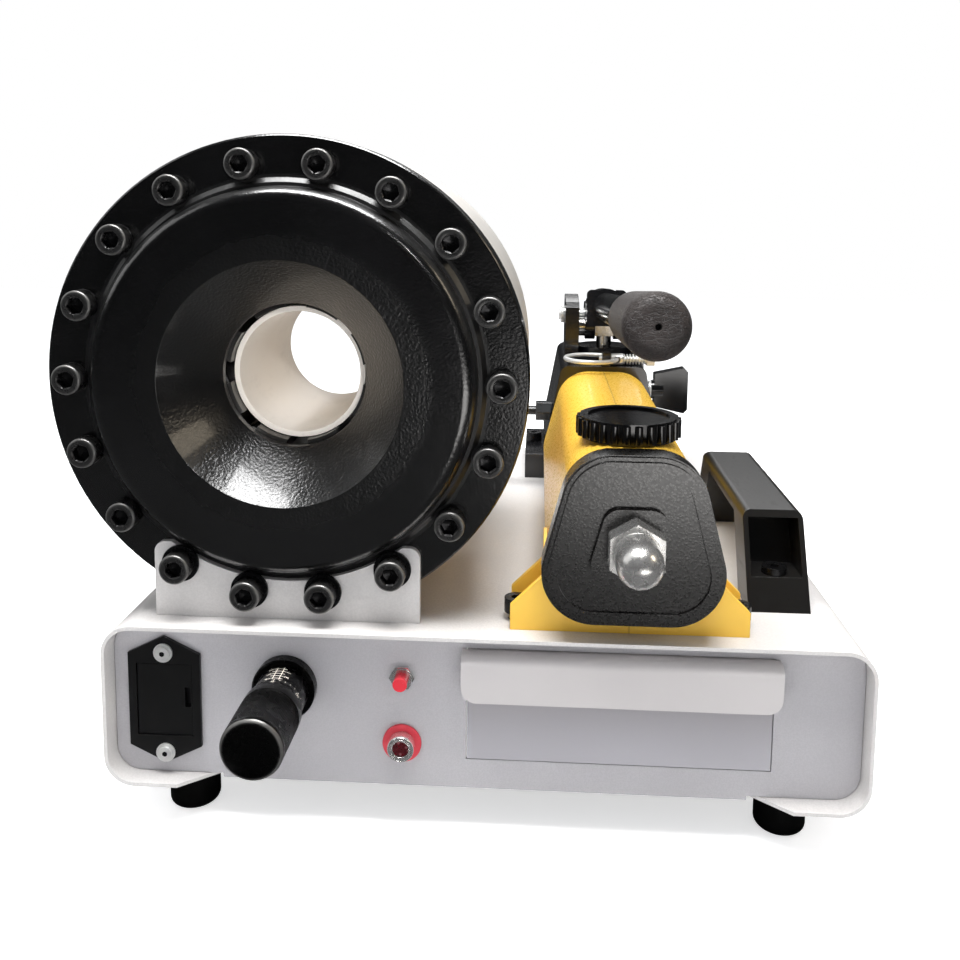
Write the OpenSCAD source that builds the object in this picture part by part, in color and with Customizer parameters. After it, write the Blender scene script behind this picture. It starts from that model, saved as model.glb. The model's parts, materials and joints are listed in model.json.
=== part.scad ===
// Bench hose crimping machine: a hydraulic crimping head, its hand pump and
// the sheet metal base that carries both.
// X runs to the right, Y runs from the front to the back, Z points up.
// Places are first worked out from the left front corner of the base: x from
// its left side, y from its front lip, z from the floor. The whole model is
// then moved so that the origin lies on the floor, under the middle.

/* [Base] */
// Width of the base
base_w = 401.6; // [380:0.2:440]
// Depth of the base, front lip to rear lip
base_d = 402; // [395:1:450]
// Height of the base without its feet
base_h = 89; // [84:1:110]
// Thickness of the wrapped sheet
sheet = 2; // [1.5:0.25:3]
// Outside radius of the long bends
bend_r = 16; // [10:1:20]
// Width of the two strips folded in underneath
strip_w = 60; // [58:1:80]
// Depth from the lip to the front panel
recess = 12; // [8:0.5:14]
// Diameter of a rubber foot
foot_d = 27.5; // [24:0.5:32]
// Height of a rubber foot
foot_h = 24; // [16:1:32]
// Distance of the feet from the sides
foot_side = 38.5; // [36:0.5:44]
// Distance of the feet from the front and rear lips
foot_end = 30; // [24:1:40]

/* [Carrying handle] */
// Length of the handle along its feet
carry_l = 184; // [150:1:200]
// Height of the handle
carry_h = 50.5; // [44:0.5:64]
// Width of the handle
carry_w = 34; // [26:1:36]
// Distance from the lip to the handle
carry_y = 46; // [30:1:60]
// Distance from the right side to the middle of the handle
carry_side = 39; // [30:0.5:44]
// How far each end leans inwards on its way up
carry_lean = 26; // [10:1:28]

/* [Drawer] */
// Width of the drawer front
drawer_w = 159.5; // [120:0.5:166]
// Height of the drawer front
drawer_h = 61; // [50:1:62]
// Length of the drawer box
drawer_l = 300; // [160:1:330]
// Distance from the right side to the middle of the drawer
drawer_side = 128.6; // [124:0.2:140]
// Height of the drawer's lower edge above the base's underside
drawer_rise = 17; // [14:1:22]
// Thickness of the drawer sheet
drawer_sheet = 1.5; // [1:0.25:2]
// How far the drawer pulls out
drawer_travel = 200; // [80:5:230]

/* [Crimping head] */
// Diameter of the front flange
flange_d = 256; // [250:1:270]
// Thickness of the front flange
flange_t = 23; // [16:1:26]
// Depth from the lip to the flange's front face
flange_y = 20.2; // [18:0.2:30]
// Gap between the flange and the base top
flange_gap = 0.5; // [0.3:0.1:4]
// Distance from the left side to the head's axis
head_side = 95.8; // [80:0.2:100]
// Diameter of the raised boss
boss_d = 203; // [196:1:206]
// Height of the raised boss
boss_h = 13.5; // [8:0.5:13.5]
// Edge radius of the boss
boss_edge = 7.5; // [3:0.5:7.5]
// Diameter of the funnel's mouth
mouth_d = 128.6; // [110:0.2:150]
// Diameter of the throat that the hose enters
throat_d = 78.8; // [76:0.2:84]
// Length of the straight throat behind the funnel
throat_l = 4.5; // [3:0.5:8]
// Pitch circle diameter of the flange bolts
bolt_pcd = 228; // [226:1:232]
// Number of flange bolts
bolt_n = 18; // [18:1:18]
// Diameter of a flange bolt's head
bolt_head_d = 16; // [13:0.5:17]
// Height of a flange bolt's head
bolt_head_h = 10; // [6:0.5:12]
// Outside diameter of the cylinder housing
housing_d = 251; // [247:1:255]
// Bore of the cylinder housing
housing_bore = 208; // [200:1:212]
// Length of the cylinder housing
housing_l = 127; // [120:1:140]
// Thickness of the rear cover
cover_t = 20; // [16:1:28]

/* [Dies and piston] */
// Number of master dies
die_n = 8; // [8:1:8]
// Length of a master die
die_l = 68; // [56:1:68]
// Radius of the die noses at rest
die_nose_r = 37.2; // [37.2:0.1:39]
// Width of a die nose
die_nose_w = 18; // [12:1:20]
// How far the dies open
die_travel = 10; // [5:0.5:10]
// Radial rise of the piston's cone for each millimetre of its length
cone_slope = 0.4; // [0.38:0.01:0.46]
// Length of the piston
piston_l = 95; // [86:1:97]
// Outside diameter of the guide hub behind the dies
hub_d = 104; // [100:1:108]
// Inside diameter of the guide hub
hub_bore = 92; // [84:1:94]
// Outside diameter of the liner sleeve
liner_d = 73.8; // [66:0.2:73.8]
// Wall of the liner sleeve
liner_wall = 3.1; // [2:0.1:4]
// Length of the liner sleeve
liner_l = 112; // [80:1:125]
// How far the liner sleeve pulls out
liner_travel = 125; // [60:5:140]

/* [Head brackets] */
// Width of a head bracket
bracket_w = 143; // [140:1:160]
// Height of a head bracket
bracket_h = 41.3; // [36:0.1:46]
// Thickness of a head bracket
bracket_t = 4; // [3:0.5:6]
// Diameter of a bracket washer
washer_d = 20; // [17:0.5:21]
// Thickness of a bracket washer
washer_t = 2; // [1.5:0.1:3]

/* [Pump] */
// Distance from the right side to the pump's middle
pump_side = 124.2; // [118:0.2:130]
// Depth from the lip to the front saddle
pump_y = 13; // [8:1:20]
// Length of the tank
tank_l = 245; // [230:1:246]
// Width of the tank at its widest
tank_w = 88.6; // [80:0.2:92]
// Height of the tank
tank_h = 84.5; // [76:0.5:90]
// Gap below the tank
tank_rise = 12.3; // [11:0.1:18]
// Depth of the black end cap
cap_t = 17; // [12:1:20]
// How far the end cap stands out around the tank
cap_proud = 2; // [1:0.25:3]
// Overall width of the two feet
saddle_w = 124.3; // [116:0.1:128]
// Depth of the front saddle
saddle_l = 30; // [22:1:34]
// Length of the rear pump block
block_l = 137; // [128:1:140]
// Width of the rear pump block at its top
block_w = 66; // [64:1:72]
// Height of the rear pump block
block_h = 88.5; // [86:0.5:96]
// Width of the rear foot
rear_foot_w = 118; // [108:1:124]
// Diameter of the filler cap
filler_d = 57; // [44:1:58]
// Height of the filler cap
filler_h = 11.5; // [10:0.5:16]
// Distance from the saddle's front to the filler cap's middle
filler_y = 35.5; // [32:0.5:60]

/* [Pump lever] */
// Distance from the lip to the lever's pivot
pivot_y = 337; // [334:1:340]
// Height of the pivot above the base top
pivot_h = 132; // [130:0.5:140]
// Distance from the pivot to the plunger's pin
plunger_arm = 20; // [18:0.5:20]
// Diameter of the plunger
plunger_d = 12; // [10:1:14]
// Diameter of the handle tube
tube_d = 22; // [18:0.5:24]
// Distance from the pivot to the end of the grip
lever_l = 382; // [300:1:400]
// Angle of the handle above level at rest
lever_angle = 4.3; // [2:0.1:12]
// Diameter of the foam grip
grip_d = 32; // [26:0.5:36]
// Length of the foam grip
grip_l = 107; // [90:1:150]

/* [Panel fittings] */
// Diameter of the dial's thimble
dial_d = 31; // [26:0.5:33]
// How far the dial reaches in front of the panel
dial_l = 64; // [50:0.5:75]
// Height of the dial above the base's underside
dial_rise = 54; // [48:0.5:60]
// Width of the battery box
battery_w = 39.4; // [36:0.2:46]
// Height of the battery box
battery_h = 71.5; // [66:0.5:76]
// Distance from the left side to the battery box's middle
battery_side = 30; // [26:0.5:34]
// Distance from the left side to the button and the lamp
button_side = 158.5; // [145:0.5:160]

/* [Hidden] */
$fn = 48;
eps = 0.01;
// Clearances between pieces that touch lightly, run on each other or slide
seat = 0.3;
run = 0.05;
slip = 0.5;

// Levels above the floor
base_z = foot_h;
top_z = base_z + base_h;
head_x = head_side;
head_z = top_z + flange_gap + max(flange_d, housing_d) / 2;

// Base
panel_t = sheet;
panel_y = recess;
rear_panel_y = base_d - recess;
strip_cut = 21;
strip_cut_l = 17;
foot_edge = 4;
foot_bore_d = 9;
foot_bore_h = foot_h / 2;
foot_screw_d = 6;
rib_t = 7;

// Screws that hold pieces to the base top
nut_h = 5;
m6_d = 6;
m6_head_d = 14;
m6_head_h = 4;
m8_d = 8;
m8_head_d = 13;
m8_head_h = 8;
hole_extra = 0.6;

// Carrying handle
carry_x = base_w - carry_side;
carry_leg = 27;
carry_bar = 8;
carry_round = 5;
carry_wall = 3;
carry_seat_z = 17;
carry_screw_y = 16.5;

// Drawer
drawer_x = base_w - drawer_side;
drawer_z = base_z + drawer_rise;
drawer_gap = 0.6;
lip_w = drawer_w + 5.6;
lip_drop = 25;
lip_reach = 9.5;
lip_round = 8;
lip_bend = 5;
box_w = drawer_w - 8;
box_h = drawer_h - 12;
box_rise = 3.5;
rail = 10;
rail_t = 1.5;

// Crimping head, along y
boss_y = flange_y - boss_h;
flange_back = flange_y + flange_t;
funnel_back = flange_back - throat_l;
step_d = boss_d + 9;
step_h = 2.5;
spot_d = bolt_head_d + 3;
bolt_d = 10;
bolt_hole_d = bolt_d + 1;
bolt_grip = 18;
socket_af = 8;
socket_depth = 5;
bolt_step = 360 / bolt_n;
// Places on the circle that the head brackets take
bracket_slots = [12, 13, 14, 15];
housing_back = flange_back + housing_l;
cover_back = housing_back + cover_t;
rim_edge = 1;

// Dies and piston, along y
die_front = flange_back + seat + 0.2;
die_back = die_front + die_l;
hub_front = die_back + 1.2;
hub_r = hub_d / 2;
piston_bore_r = hub_r + run;
cone_end = die_back + 1;
piston_front = flange_back + 2.5;
piston_travel = die_travel / cone_slope;
die_step = 360 / die_n;
die_gap = 0.8;
nose_depth = 7;
nose_flare = 8;
pin_d = 3;
pin_l = 4;
pin_r = die_nose_r + nose_depth / 2;
liner_front = die_front + 6.8;

// Head brackets
bracket_y = flange_y - bracket_t;
bracket_round = 6;
bracket_arc_r = step_d / 2 + 1;
tab_w = 24;
tab_x = 42;
rear_bolt_head_h = 8;

// Pump, along y and z
pump_x = base_w - pump_side;
tank_y = pump_y;
tank_back = tank_y + tank_l;
tank_z = top_z + tank_rise;
tank_top = tank_z + tank_h;
tank_low_r = 25;
tank_high_r = 24;
tank_high_x = 11;
saddle_base = 4;
saddle_fin = 4;
saddle_edge_h = 13;
saddle_shoulder = 17;
saddle_wrap = 46;
saddle_screw_x = saddle_w / 2 - 3;
cap_front = tank_y - cap_t;
cap_border = 6;
cap_rim = 3;
cap_sink = 2;
cap_pad_w = 44;
cap_pad_top_w = 33;
cap_pad_h = 38;
cap_pad_rise = 4;
cap_pad_r = 9;
nut_af = 27;
acorn_hex_h = 12;
acorn_dome_r = 11.5;
acorn_neck = 12;
acorn_z = tank_z + tank_h / 2 - 1.2;
filler_place_y = pump_y + filler_y;
filler_lobes = 26;
filler_lobe_d = 4.4;
filler_dish_d = 44;
filler_dish = 1.5;
filler_neck_d = 28;
filler_neck_h = 7;
block_y = tank_back;
block_back = block_y + block_l;
block_top = tank_z + block_h;
block_low_r = 20;
block_high_r = 7;
block_flare = 11;
block_low = [block_w / 2 + block_flare - block_low_r, block_low_r];
block_high = [block_w / 2 - block_high_r, block_h - block_high_r];
rear_foot_h = 20;
rear_foot_l = 92;
rear_foot_edge = 7;
rear_foot_back = base_d - rear_foot_edge;
rear_foot_y = rear_foot_back - rear_foot_l;
rear_foot_screw_x = rear_foot_w / 2 - m8_head_d / 2 - 0.5;
rear_foot_screw_y = rear_foot_y + rear_foot_l / 2;

// Pump lever
lever_x = pump_x + 3.5;
pivot_z = top_z + pivot_h;
plunger_y = pivot_y - plunger_arm;
pin_z = pivot_z - 7;
tube_rise = 7.4;
neck_y = pivot_y - 15;
neck_d = 44;
neck_h = 8;
neck_top = block_top + neck_h;
cheek_t = 11;
cheek_gap = 41.4;
cheek_l = 50;
cheek_y = pivot_y + 15 - cheek_l;
cheek_front_h = 13;
cheek_top_h = 17;
bracket_floor = 5;
pivot_d = 10;
pivot_head_d = 14;
pivot_head_h = 3;
link_pin_d = 8;
link_pin_head = 4.2;
link_gap = 15;
link_t = 8;
link_r = 11;
slot_l = 3;
socket_d = 29;
socket_back = 8;
socket_front = 44;
clamp_w = 31;
clamp_t = 5;
clamp_low = 15;
clamp_high = 13.5;
clamp_notch = 14;
plunger_head_w = 14.6;
plunger_foot = 45;
slot_front = 12;
slot_back = 9;
tube_stop = plunger_arm + slot_front + 1;
grip_round = 8;
grip_end = 6;
grip_far_d = grip_d - 2;
grip_vent_d = 3;

// Release valve and lock pin
valve_y = block_y + 32;
valve_rise = 66;
valve_z = tank_z + valve_rise;
valve_d = 9;
valve_sink = 14;
valve_bare = 4;
valve_grip = 12;
knob_w = 28;
knob_h = 36;
knob_t = 12;
knob_hub_d = 15;
lock_y = block_y + 6.5;
lock_z = block_top + 5;
lock_ring_r = 19.5;
lock_wire_d = 3.4;
lock_lug_x = pump_x - 1;
lock_lug_w = 6.5;
lock_lug_l = 10;
lock_pin_d = 4;
lock_eye_d = 8.5;
lock_eye_l = 9;
lock_eye_bore = 4.8;
lock_spring_d = 8;
lock_spring_l = 18;
lock_spring_wire = 1.2;
lock_nut_l = 6;
lock_nut_d = 9;

valve_wall_x = pump_x + block_half(valve_z - tank_z);
lock_eye_x = lock_lug_x + lock_lug_w + 0.4 + lock_eye_l / 2;

// Pressure pipe
pipe_d = 7;
pipe_bend_r = 14;
pipe_side = 74;
pipe_drop = 66;
pipe_x = head_x + pipe_side;
pipe_y = block_y + 16;
pipe_z = head_z - pipe_drop;
pipe_wall_x = pump_x - block_half(pipe_z - tank_z);
pipe_nut_af = 14;
pipe_nut_l = 12;
pipe_port_depth = 6;

// Panel fittings
battery_x = battery_side;
battery_rise = 44;
battery_z = base_z + battery_rise;
battery_peak = 9.7;
battery_rim = 2;
battery_tray_w = 30;
battery_tray_h = 40;
battery_tray_l = 28;
battery_tray_drop = 3;
battery_body_w = 34;
battery_body_h = 50;
battery_body_l = 32;
battery_screw_d = 10.4;
battery_shank_d = 3;
battery_screw_bore = battery_shank_d + 0.3;
battery_screw_z = [battery_h / 2 - 9, 6 - battery_h / 2];
dial_x = head_x;
dial_z = base_z + dial_rise;
dial_collar_d = 34;
dial_collar_l = 7;
dial_barrel_d = 27.6;
dial_barrel_l = 14;
dial_bevel_l = 6;
dial_spindle_d = 8;
button_rise = 61.3;
button_z = base_z + button_rise;
button_nut_d = 13.8;
button_nut_h = 2.2;
button_neck = 0.8;
button_cap_d = 7.6;
button_reach = 10;
button_travel = 2;
lamp_rise = 24.3;
lamp_z = base_z + lamp_rise;
lamp_gasket_d = 20.8;
lamp_gasket_t = 1.5;
lamp_bezel_d = 14.2;
lamp_reach = 8.5;
lamp_lens_d = 10.6;
lamp_back_l = 14;

// Origin: on the floor, under the middle of the whole machine
left_x = min(0, head_x - flange_d / 2);
grip_front_y = pivot_y - grip_round - (lever_l - grip_round) * cos(lever_angle)
    + (tube_rise + grip_round - grip_d / 2) * sin(lever_angle);
front_y = min(grip_front_y, panel_y - dial_l);
origin_x = (left_x + base_w) / 2;
origin_y = (front_y + base_d) / 2;

// ---- Helpers ----

// Extrudes an outline drawn in x and z from y0 to y1
module slab_y(y0, y1) {
    translate([0, y1, 0]) rotate([90, 0, 0]) linear_extrude(y1 - y0) children();
}

// Extrudes an outline drawn in y and z from x0 to x1
module slab_x(x0, x1) {
    translate([x0, 0, 0]) rotate([90, 0, 90]) linear_extrude(x1 - x0) children();
}

// Revolves an outline drawn in radius and y about the y axis
module turned_y(points) {
    rotate([-90, 0, 0]) rotate_extrude($fn = 96) polygon(points);
}

// A rod along y
module rod_y(y0, y1, d) {
    translate([0, y0, 0]) rotate([-90, 0, 0]) cylinder(d = d, h = y1 - y0);
}

// A rod along x
module rod_x(x0, x1, d) {
    translate([x0, 0, 0]) rotate([0, 90, 0]) cylinder(d = d, h = x1 - x0);
}

// A block from its lowest to its highest corner
module block(low, high) {
    translate(low) cube(high - low);
}

// A rectangle with round corners, from its lower left corner
module round_rect(w, h, r) {
    translate([r, 0]) square([w - 2 * r, h]);
    translate([0, r]) square([w, h - 2 * r]);
    for (x = [r, w - r], y = [r, h - r]) translate([x, y]) circle(r = r);
}

// A hexagon with a given distance across its flats
module hexagon(af) {
    circle(d = af / cos(30), $fn = 6);
}

// A hexagon socket screw along y, its head's underside at y = 0
module socket_screw(head_d, head_h, shank_d, shank_l, af) {
    difference() {
        union() {
            rod_y(-head_h, 0, head_d);
            rod_y(-eps, shank_l, shank_d);
        }
        slab_y(-head_h - eps, -head_h + head_h / 2) hexagon(af);
    }
}

// A vertical screw with a round head on top and a nut below, its head's
// underside at z = 0 and its nut's top at z = -grip
module through_screw(head_d, head_h, shank_d, grip, af) {
    difference() {
        union() {
            cylinder(d = head_d, h = head_h);
            translate([0, 0, -grip - nut_h]) cylinder(d = shank_d, h = grip + nut_h + eps);
            translate([0, 0, -grip - nut_h]) linear_extrude(nut_h) hexagon(shank_d * 1.6);
        }
        translate([0, 0, head_h / 3]) linear_extrude(head_h) hexagon(af);
    }
}

// Puts children on the head's bolt circle, at the places given by number
module on_bolt_circle(places) {
    for (i = places) {
        a = i * bolt_step;
        translate([bolt_pcd / 2 * cos(a), 0, bolt_pcd / 2 * sin(a)]) children();
    }
}

all_slots = [for (i = [0 : bolt_n - 1]) i];
flange_slots = [for (i = all_slots) if (len([for (b = bracket_slots) if (b == i) b]) == 0) i];

module at_head() {
    translate([head_x, 0, head_z]) children();
}

// The angle of the side line that touches a low and a high round corner
function side_angle(dx, dz, dr) = atan2(dz, dx) - acos(dr / norm([dx, dz]));

// A body section, a trapezoid with round corners, drawn about the pump's
// middle: low and high are the centres of the right-hand corners
module body_section(low, low_r, high, high_r) {
    a = side_angle(high[0] - low[0], high[1] - low[1], low_r - high_r);
    side = [cos(a), sin(a)];
    for (s = [-1, 1]) {
        translate([s * low[0], low[1]]) circle(r = low_r);
        translate([s * high[0], high[1]]) circle(r = high_r);
    }
    right = [
        [low[0], low[1] - low_r],
        low + low_r * side,
        high + high_r * side,
        [high[0], high[1] + high_r]
    ];
    left = [for (i = [3 : -1 : 0]) [-right[i][0], right[i][1]]];
    polygon(concat(right, left));
}

// The tank's section; grow moves its outline outwards
module tank_section(grow = 0) {
    body_section([tank_w / 2 - tank_low_r, tank_low_r], tank_low_r + grow,
                 [tank_high_x, tank_h - tank_high_r], tank_high_r + grow);
}

// The pump block's section, squarer than the tank
module block_section(grow = 0) {
    body_section(block_low, block_low_r + grow, block_high, block_high_r + grow);
}

// Half of the pump block's width at a height above the tank's underside,
// anywhere on its straight flank
function block_half(z) =
    let (
        a = side_angle(block_high[0] - block_low[0], block_high[1] - block_low[1],
                       block_low_r - block_high_r),
        foot = block_low + block_low_r * [cos(a), sin(a)],
        head = block_high + block_high_r * [cos(a), sin(a)]
    )
    foot[0] + (head[0] - foot[0]) * (z - foot[1]) / (head[1] - foot[1]);

module at_pump() {
    translate([pump_x, 0, tank_z]) children();
}

module at_dial() {
    translate([dial_x, panel_y, dial_z]) children();
}

// ---- Base ----

module inner_outline(gap) {
    r = bend_r - sheet - gap;
    translate([sheet + gap, base_z + sheet + gap])
        round_rect(base_w - 2 * (sheet + gap), base_h - 2 * (sheet + gap), r);
}

// Screw places on the base top, as x and y
saddle_spots = [for (s = [-1, 1]) [pump_x + s * saddle_screw_x, pump_y + saddle_l / 2]];
rear_foot_spots = [for (s = [-1, 1]) [pump_x + s * rear_foot_screw_x, rear_foot_screw_y]];
carry_spots = [for (y = [carry_y + carry_screw_y, carry_y + carry_l - carry_screw_y]) [carry_x, y]];
foot_spots = [for (x = [foot_side, base_w - foot_side], y = [foot_end, base_d - foot_end]) [x, y]];

module base_shell() {
    color("gainsboro") difference() {
        slab_y(0, base_d) difference() {
            translate([0, base_z]) round_rect(base_w, base_h, bend_r);
            inner_outline(0);
            translate([strip_w, base_z - 1]) square([base_w - 2 * strip_w, sheet + 2]);
        }
        for (y = [0, base_d], x = [0, base_w]) {
            along = y == 0 ? 1 : -1;
            across = x == 0 ? 1 : -1;
            translate([x + across * strip_w, y, base_z - 1]) linear_extrude(sheet + 2) polygon([
                [-across * strip_cut, -along * eps],
                [across, -along * eps],
                [across, along * strip_cut_l],
                [0, along * strip_cut_l]
            ]);
        }
        for (p = concat(saddle_spots, rear_foot_spots))
            translate([p[0], p[1], top_z - 2 * sheet]) cylinder(d = m8_d + hole_extra, h = 3 * sheet);
        for (p = carry_spots)
            translate([p[0], p[1], top_z - 2 * sheet]) cylinder(d = m6_d + hole_extra, h = 3 * sheet);
        for (p = foot_spots)
            translate([p[0], p[1], base_z - sheet]) cylinder(d = foot_screw_d + hole_extra, h = 3 * sheet);
        for (y = [bracket_y, cover_back], s = [-1, 1])
            block([head_x + s * tab_x - tab_w / 2 - slip, y - seat, top_z - 2 * sheet],
                  [head_x + s * tab_x + tab_w / 2 + slip, y + bracket_t + seat, top_z + sheet]);
    }
}

// A panel's outline: the inside of the shell, and a tongue between the strips
module panel_outline() {
    inner_outline(seat);
    translate([strip_w + slip, base_z])
        square([base_w - 2 * (strip_w + slip), 2 * bend_r]);
}

// The turned-back edge along the top and the sides of a panel
module panel_rim() {
    difference() {
        inner_outline(seat);
        inner_outline(seat + panel_t);
        translate([0, base_z]) square([base_w, bend_r]);
    }
}

module front_panel() {
    color("lightsteelblue") difference() {
        union() {
            slab_y(panel_y, panel_y + panel_t) panel_outline();
            slab_y(panel_y + panel_t, panel_y + rib_t) panel_rim();
        }
        block([drawer_x - drawer_w / 2 - drawer_gap, panel_y - 1, drawer_z - drawer_gap],
              [drawer_x + drawer_w / 2 + drawer_gap, panel_y + panel_t + 1,
               drawer_z + drawer_h + drawer_gap]);
        block([battery_x - battery_body_w / 2 - slip, panel_y - 1, battery_z - battery_body_h / 2 - slip],
              [battery_x + battery_body_w / 2 + slip, panel_y + panel_t + 1,
               battery_z + battery_body_h / 2 + slip]);
        for (z = battery_screw_z) translate([battery_x, 0, battery_z + z])
            rod_y(panel_y - 1, panel_y + panel_t + 1, battery_screw_bore);
        at_dial() rod_y(-1, panel_t + 1, dial_spindle_d + 6);
        translate([button_side, 0, button_z]) rod_y(panel_y - 1, panel_y + panel_t + 1, button_cap_d + 2.4);
        translate([button_side, 0, lamp_z]) rod_y(panel_y - 1, panel_y + panel_t + 1, lamp_lens_d + 0.8);
    }
}

module rear_panel() {
    color("lightsteelblue") {
        slab_y(rear_panel_y - panel_t, rear_panel_y) panel_outline();
        slab_y(rear_panel_y - rib_t, rear_panel_y - panel_t) panel_rim();
    }
}

module rubber_foot() {
    r = foot_d / 2;
    difference() {
        rotate_extrude() {
            translate([0, foot_edge]) square([r, foot_h - foot_edge]);
            square([r - foot_edge, foot_edge + eps]);
            translate([r - foot_edge, foot_edge]) circle(r = foot_edge);
        }
        translate([0, 0, -eps]) cylinder(d = foot_bore_d + 3, h = foot_bore_h);
        cylinder(d = foot_screw_d, h = foot_h + 1);
    }
}

module rubber_feet() {
    color("black") for (p = foot_spots) translate([p[0], p[1], 0]) rubber_foot();
}

// A screw from below through each foot, with its nut on the folded strip
module foot_screws() {
    color("silver") for (p = foot_spots) translate([p[0], p[1], 0]) {
        translate([0, 0, foot_bore_h - 4]) cylinder(d = foot_bore_d + 2, h = 4 - eps);
        translate([0, 0, foot_bore_h - eps])
            cylinder(d = foot_screw_d - 2 * run, h = foot_h + sheet + nut_h - foot_bore_h);
        translate([0, 0, base_z + sheet]) linear_extrude(nut_h) hexagon(foot_screw_d * 1.6);
    }
}

// ---- Carrying handle ----

module carry_side_outline() {
    lean_leg = carry_lean * (carry_h - carry_bar) / carry_h;
    difference() {
        polygon([
            [0, 0],
            [carry_lean, carry_h],
            [carry_l - carry_lean, carry_h],
            [carry_l, 0]
        ]);
        polygon([
            [carry_leg, -1],
            [carry_leg + lean_leg, carry_h - carry_bar],
            [carry_l - carry_leg - lean_leg, carry_h - carry_bar],
            [carry_l - carry_leg, -1]
        ]);
    }
}

// The hollow in a handle end, in which its screw sits
module carry_pocket_outline() {
    top = carry_h - carry_wall - 1;
    lean = carry_lean / carry_h;
    polygon([
        [-carry_wall, carry_seat_z],
        [carry_leg - carry_wall + lean * carry_seat_z, carry_seat_z],
        [carry_leg - carry_wall + lean * top, top],
        [lean * top - carry_wall, top]
    ]);
}

module carry_handle() {
    half = carry_w / 2;
    inside = half - carry_wall;
    color("#202020") translate([carry_x, carry_y, top_z]) difference() {
        intersection() {
            slab_x(-half, half) carry_side_outline();
            slab_y(-1, carry_l + 1) {
                translate([-half, 0]) square([carry_w, carry_h - carry_round]);
                translate([-half, 0]) round_rect(carry_w, carry_h, carry_round);
            }
        }
        for (end = [0, 1]) translate([0, end * carry_l, 0]) mirror([0, end, 0]) {
            slab_x(-inside, inside) carry_pocket_outline();
            translate([0, carry_screw_y, -1]) cylinder(d = m6_d + hole_extra, h = carry_h / 2);
        }
    }
}

module carry_screws() {
    color("#303030") for (p = carry_spots) translate([p[0], p[1], top_z + carry_seat_z])
        through_screw(m6_head_d, m6_head_h, m6_d - 2 * run, carry_seat_z + sheet, 5);
}

// ---- Drawer ----

// Two angle rails between the panels, which carry the drawer box
module drawer_rails() {
    y0 = panel_y + panel_t;
    y1 = rear_panel_y - panel_t;
    rail_z = drawer_z + box_rise - seat - rail_t;
    color("silver") for (s = [0, 1]) translate([drawer_x, 0, 0]) mirror([s, 0, 0]) {
        block([box_w / 2 - rail + seat, y0, rail_z], [box_w / 2 + seat + rail_t, y1, rail_z + rail_t]);
        block([box_w / 2 + seat, y0, rail_z], [box_w / 2 + seat + rail_t, y1, rail_z + rail_t + rail]);
    }
}

module drawer_box() {
    y0 = panel_y + drawer_sheet - seat;
    z0 = drawer_z + box_rise;
    color("silver") difference() {
        block([drawer_x - box_w / 2, y0, z0], [drawer_x + box_w / 2, y0 + drawer_l, z0 + box_h]);
        block([drawer_x - box_w / 2 + drawer_sheet, y0 + drawer_sheet, z0 + drawer_sheet],
              [drawer_x + box_w / 2 - drawer_sheet, y0 + drawer_l - drawer_sheet, z0 + box_h + 1]);
    }
}

// Section of the pull lip: back from the bend, over the top and down
module lip_section(top) {
    r = lip_bend;
    difference() {
        union() {
            translate([-lip_reach + r, top - r]) circle(r = r);
            translate([-lip_reach + r, top - drawer_sheet]) square([lip_reach - r + eps, drawer_sheet]);
            translate([-lip_reach, top - lip_drop]) square([drawer_sheet, lip_drop - r]);
        }
        translate([-lip_reach + r, top - r]) circle(r = r - drawer_sheet);
        translate([-lip_reach + drawer_sheet, top - lip_drop - 1])
            square([lip_reach, lip_drop + 1 - r]);
        translate([-lip_reach + r, top - lip_drop])
            square([lip_reach, lip_drop - drawer_sheet]);
    }
}

module drawer_front() {
    top = drawer_z + drawer_h;
    front = panel_y - seat;
    color("whitesmoke") {
        block([drawer_x - drawer_w / 2, front, drawer_z], [drawer_x + drawer_w / 2, front + drawer_sheet, top]);
        translate([0, front, 0]) intersection() {
            slab_x(drawer_x - lip_w / 2, drawer_x + lip_w / 2) lip_section(top);
            slab_y(-lip_reach - 1, eps) translate([drawer_x - lip_w / 2, top - lip_drop])
                round_rect(lip_w, lip_drop + lip_round, lip_round);
        }
    }
}

// ---- Crimping head ----

module front_flange() {
    r = flange_d / 2;
    boss_r = boss_d / 2;
    color("#1c1c1c") at_head() difference() {
        turned_y([
            [throat_d / 2, flange_back],
            [throat_d / 2, funnel_back],
            [mouth_d / 2, boss_y],
            [boss_r - boss_edge, boss_y],
            for (a = [0 : 15 : 90])
                [boss_r - boss_edge + boss_edge * sin(a), boss_y + boss_edge - boss_edge * cos(a)],
            [boss_r, flange_y - step_h],
            [step_d / 2 - step_h, flange_y - step_h],
            [step_d / 2, flange_y],
            [r - rim_edge, flange_y],
            [r, flange_y + rim_edge],
            [r, flange_back]
        ]);
        on_bolt_circle(all_slots) rod_y(flange_y - 1, flange_back + 1, bolt_hole_d);
        on_bolt_circle(all_slots) rod_y(flange_y - boss_h, flange_y, spot_d);
    }
}

module flange_bolts() {
    color("#2b2b2b") at_head() on_bolt_circle(flange_slots) translate([0, flange_y, 0])
        socket_screw(bolt_head_d, bolt_head_h, bolt_d - 2 * run, flange_t + bolt_grip, socket_af);
}

module bracket_bolts() {
    color("#2b2b2b") at_head() on_bolt_circle(bracket_slots) {
        translate([0, bracket_y - washer_t, 0])
            socket_screw(bolt_head_d, bolt_head_h, bolt_d - 2 * run, flange_t + bolt_grip, socket_af);
        difference() {
            rod_y(bracket_y - washer_t, bracket_y, washer_d);
            rod_y(bracket_y - washer_t - 1, bracket_y + 1, bolt_hole_d);
        }
    }
}

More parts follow.
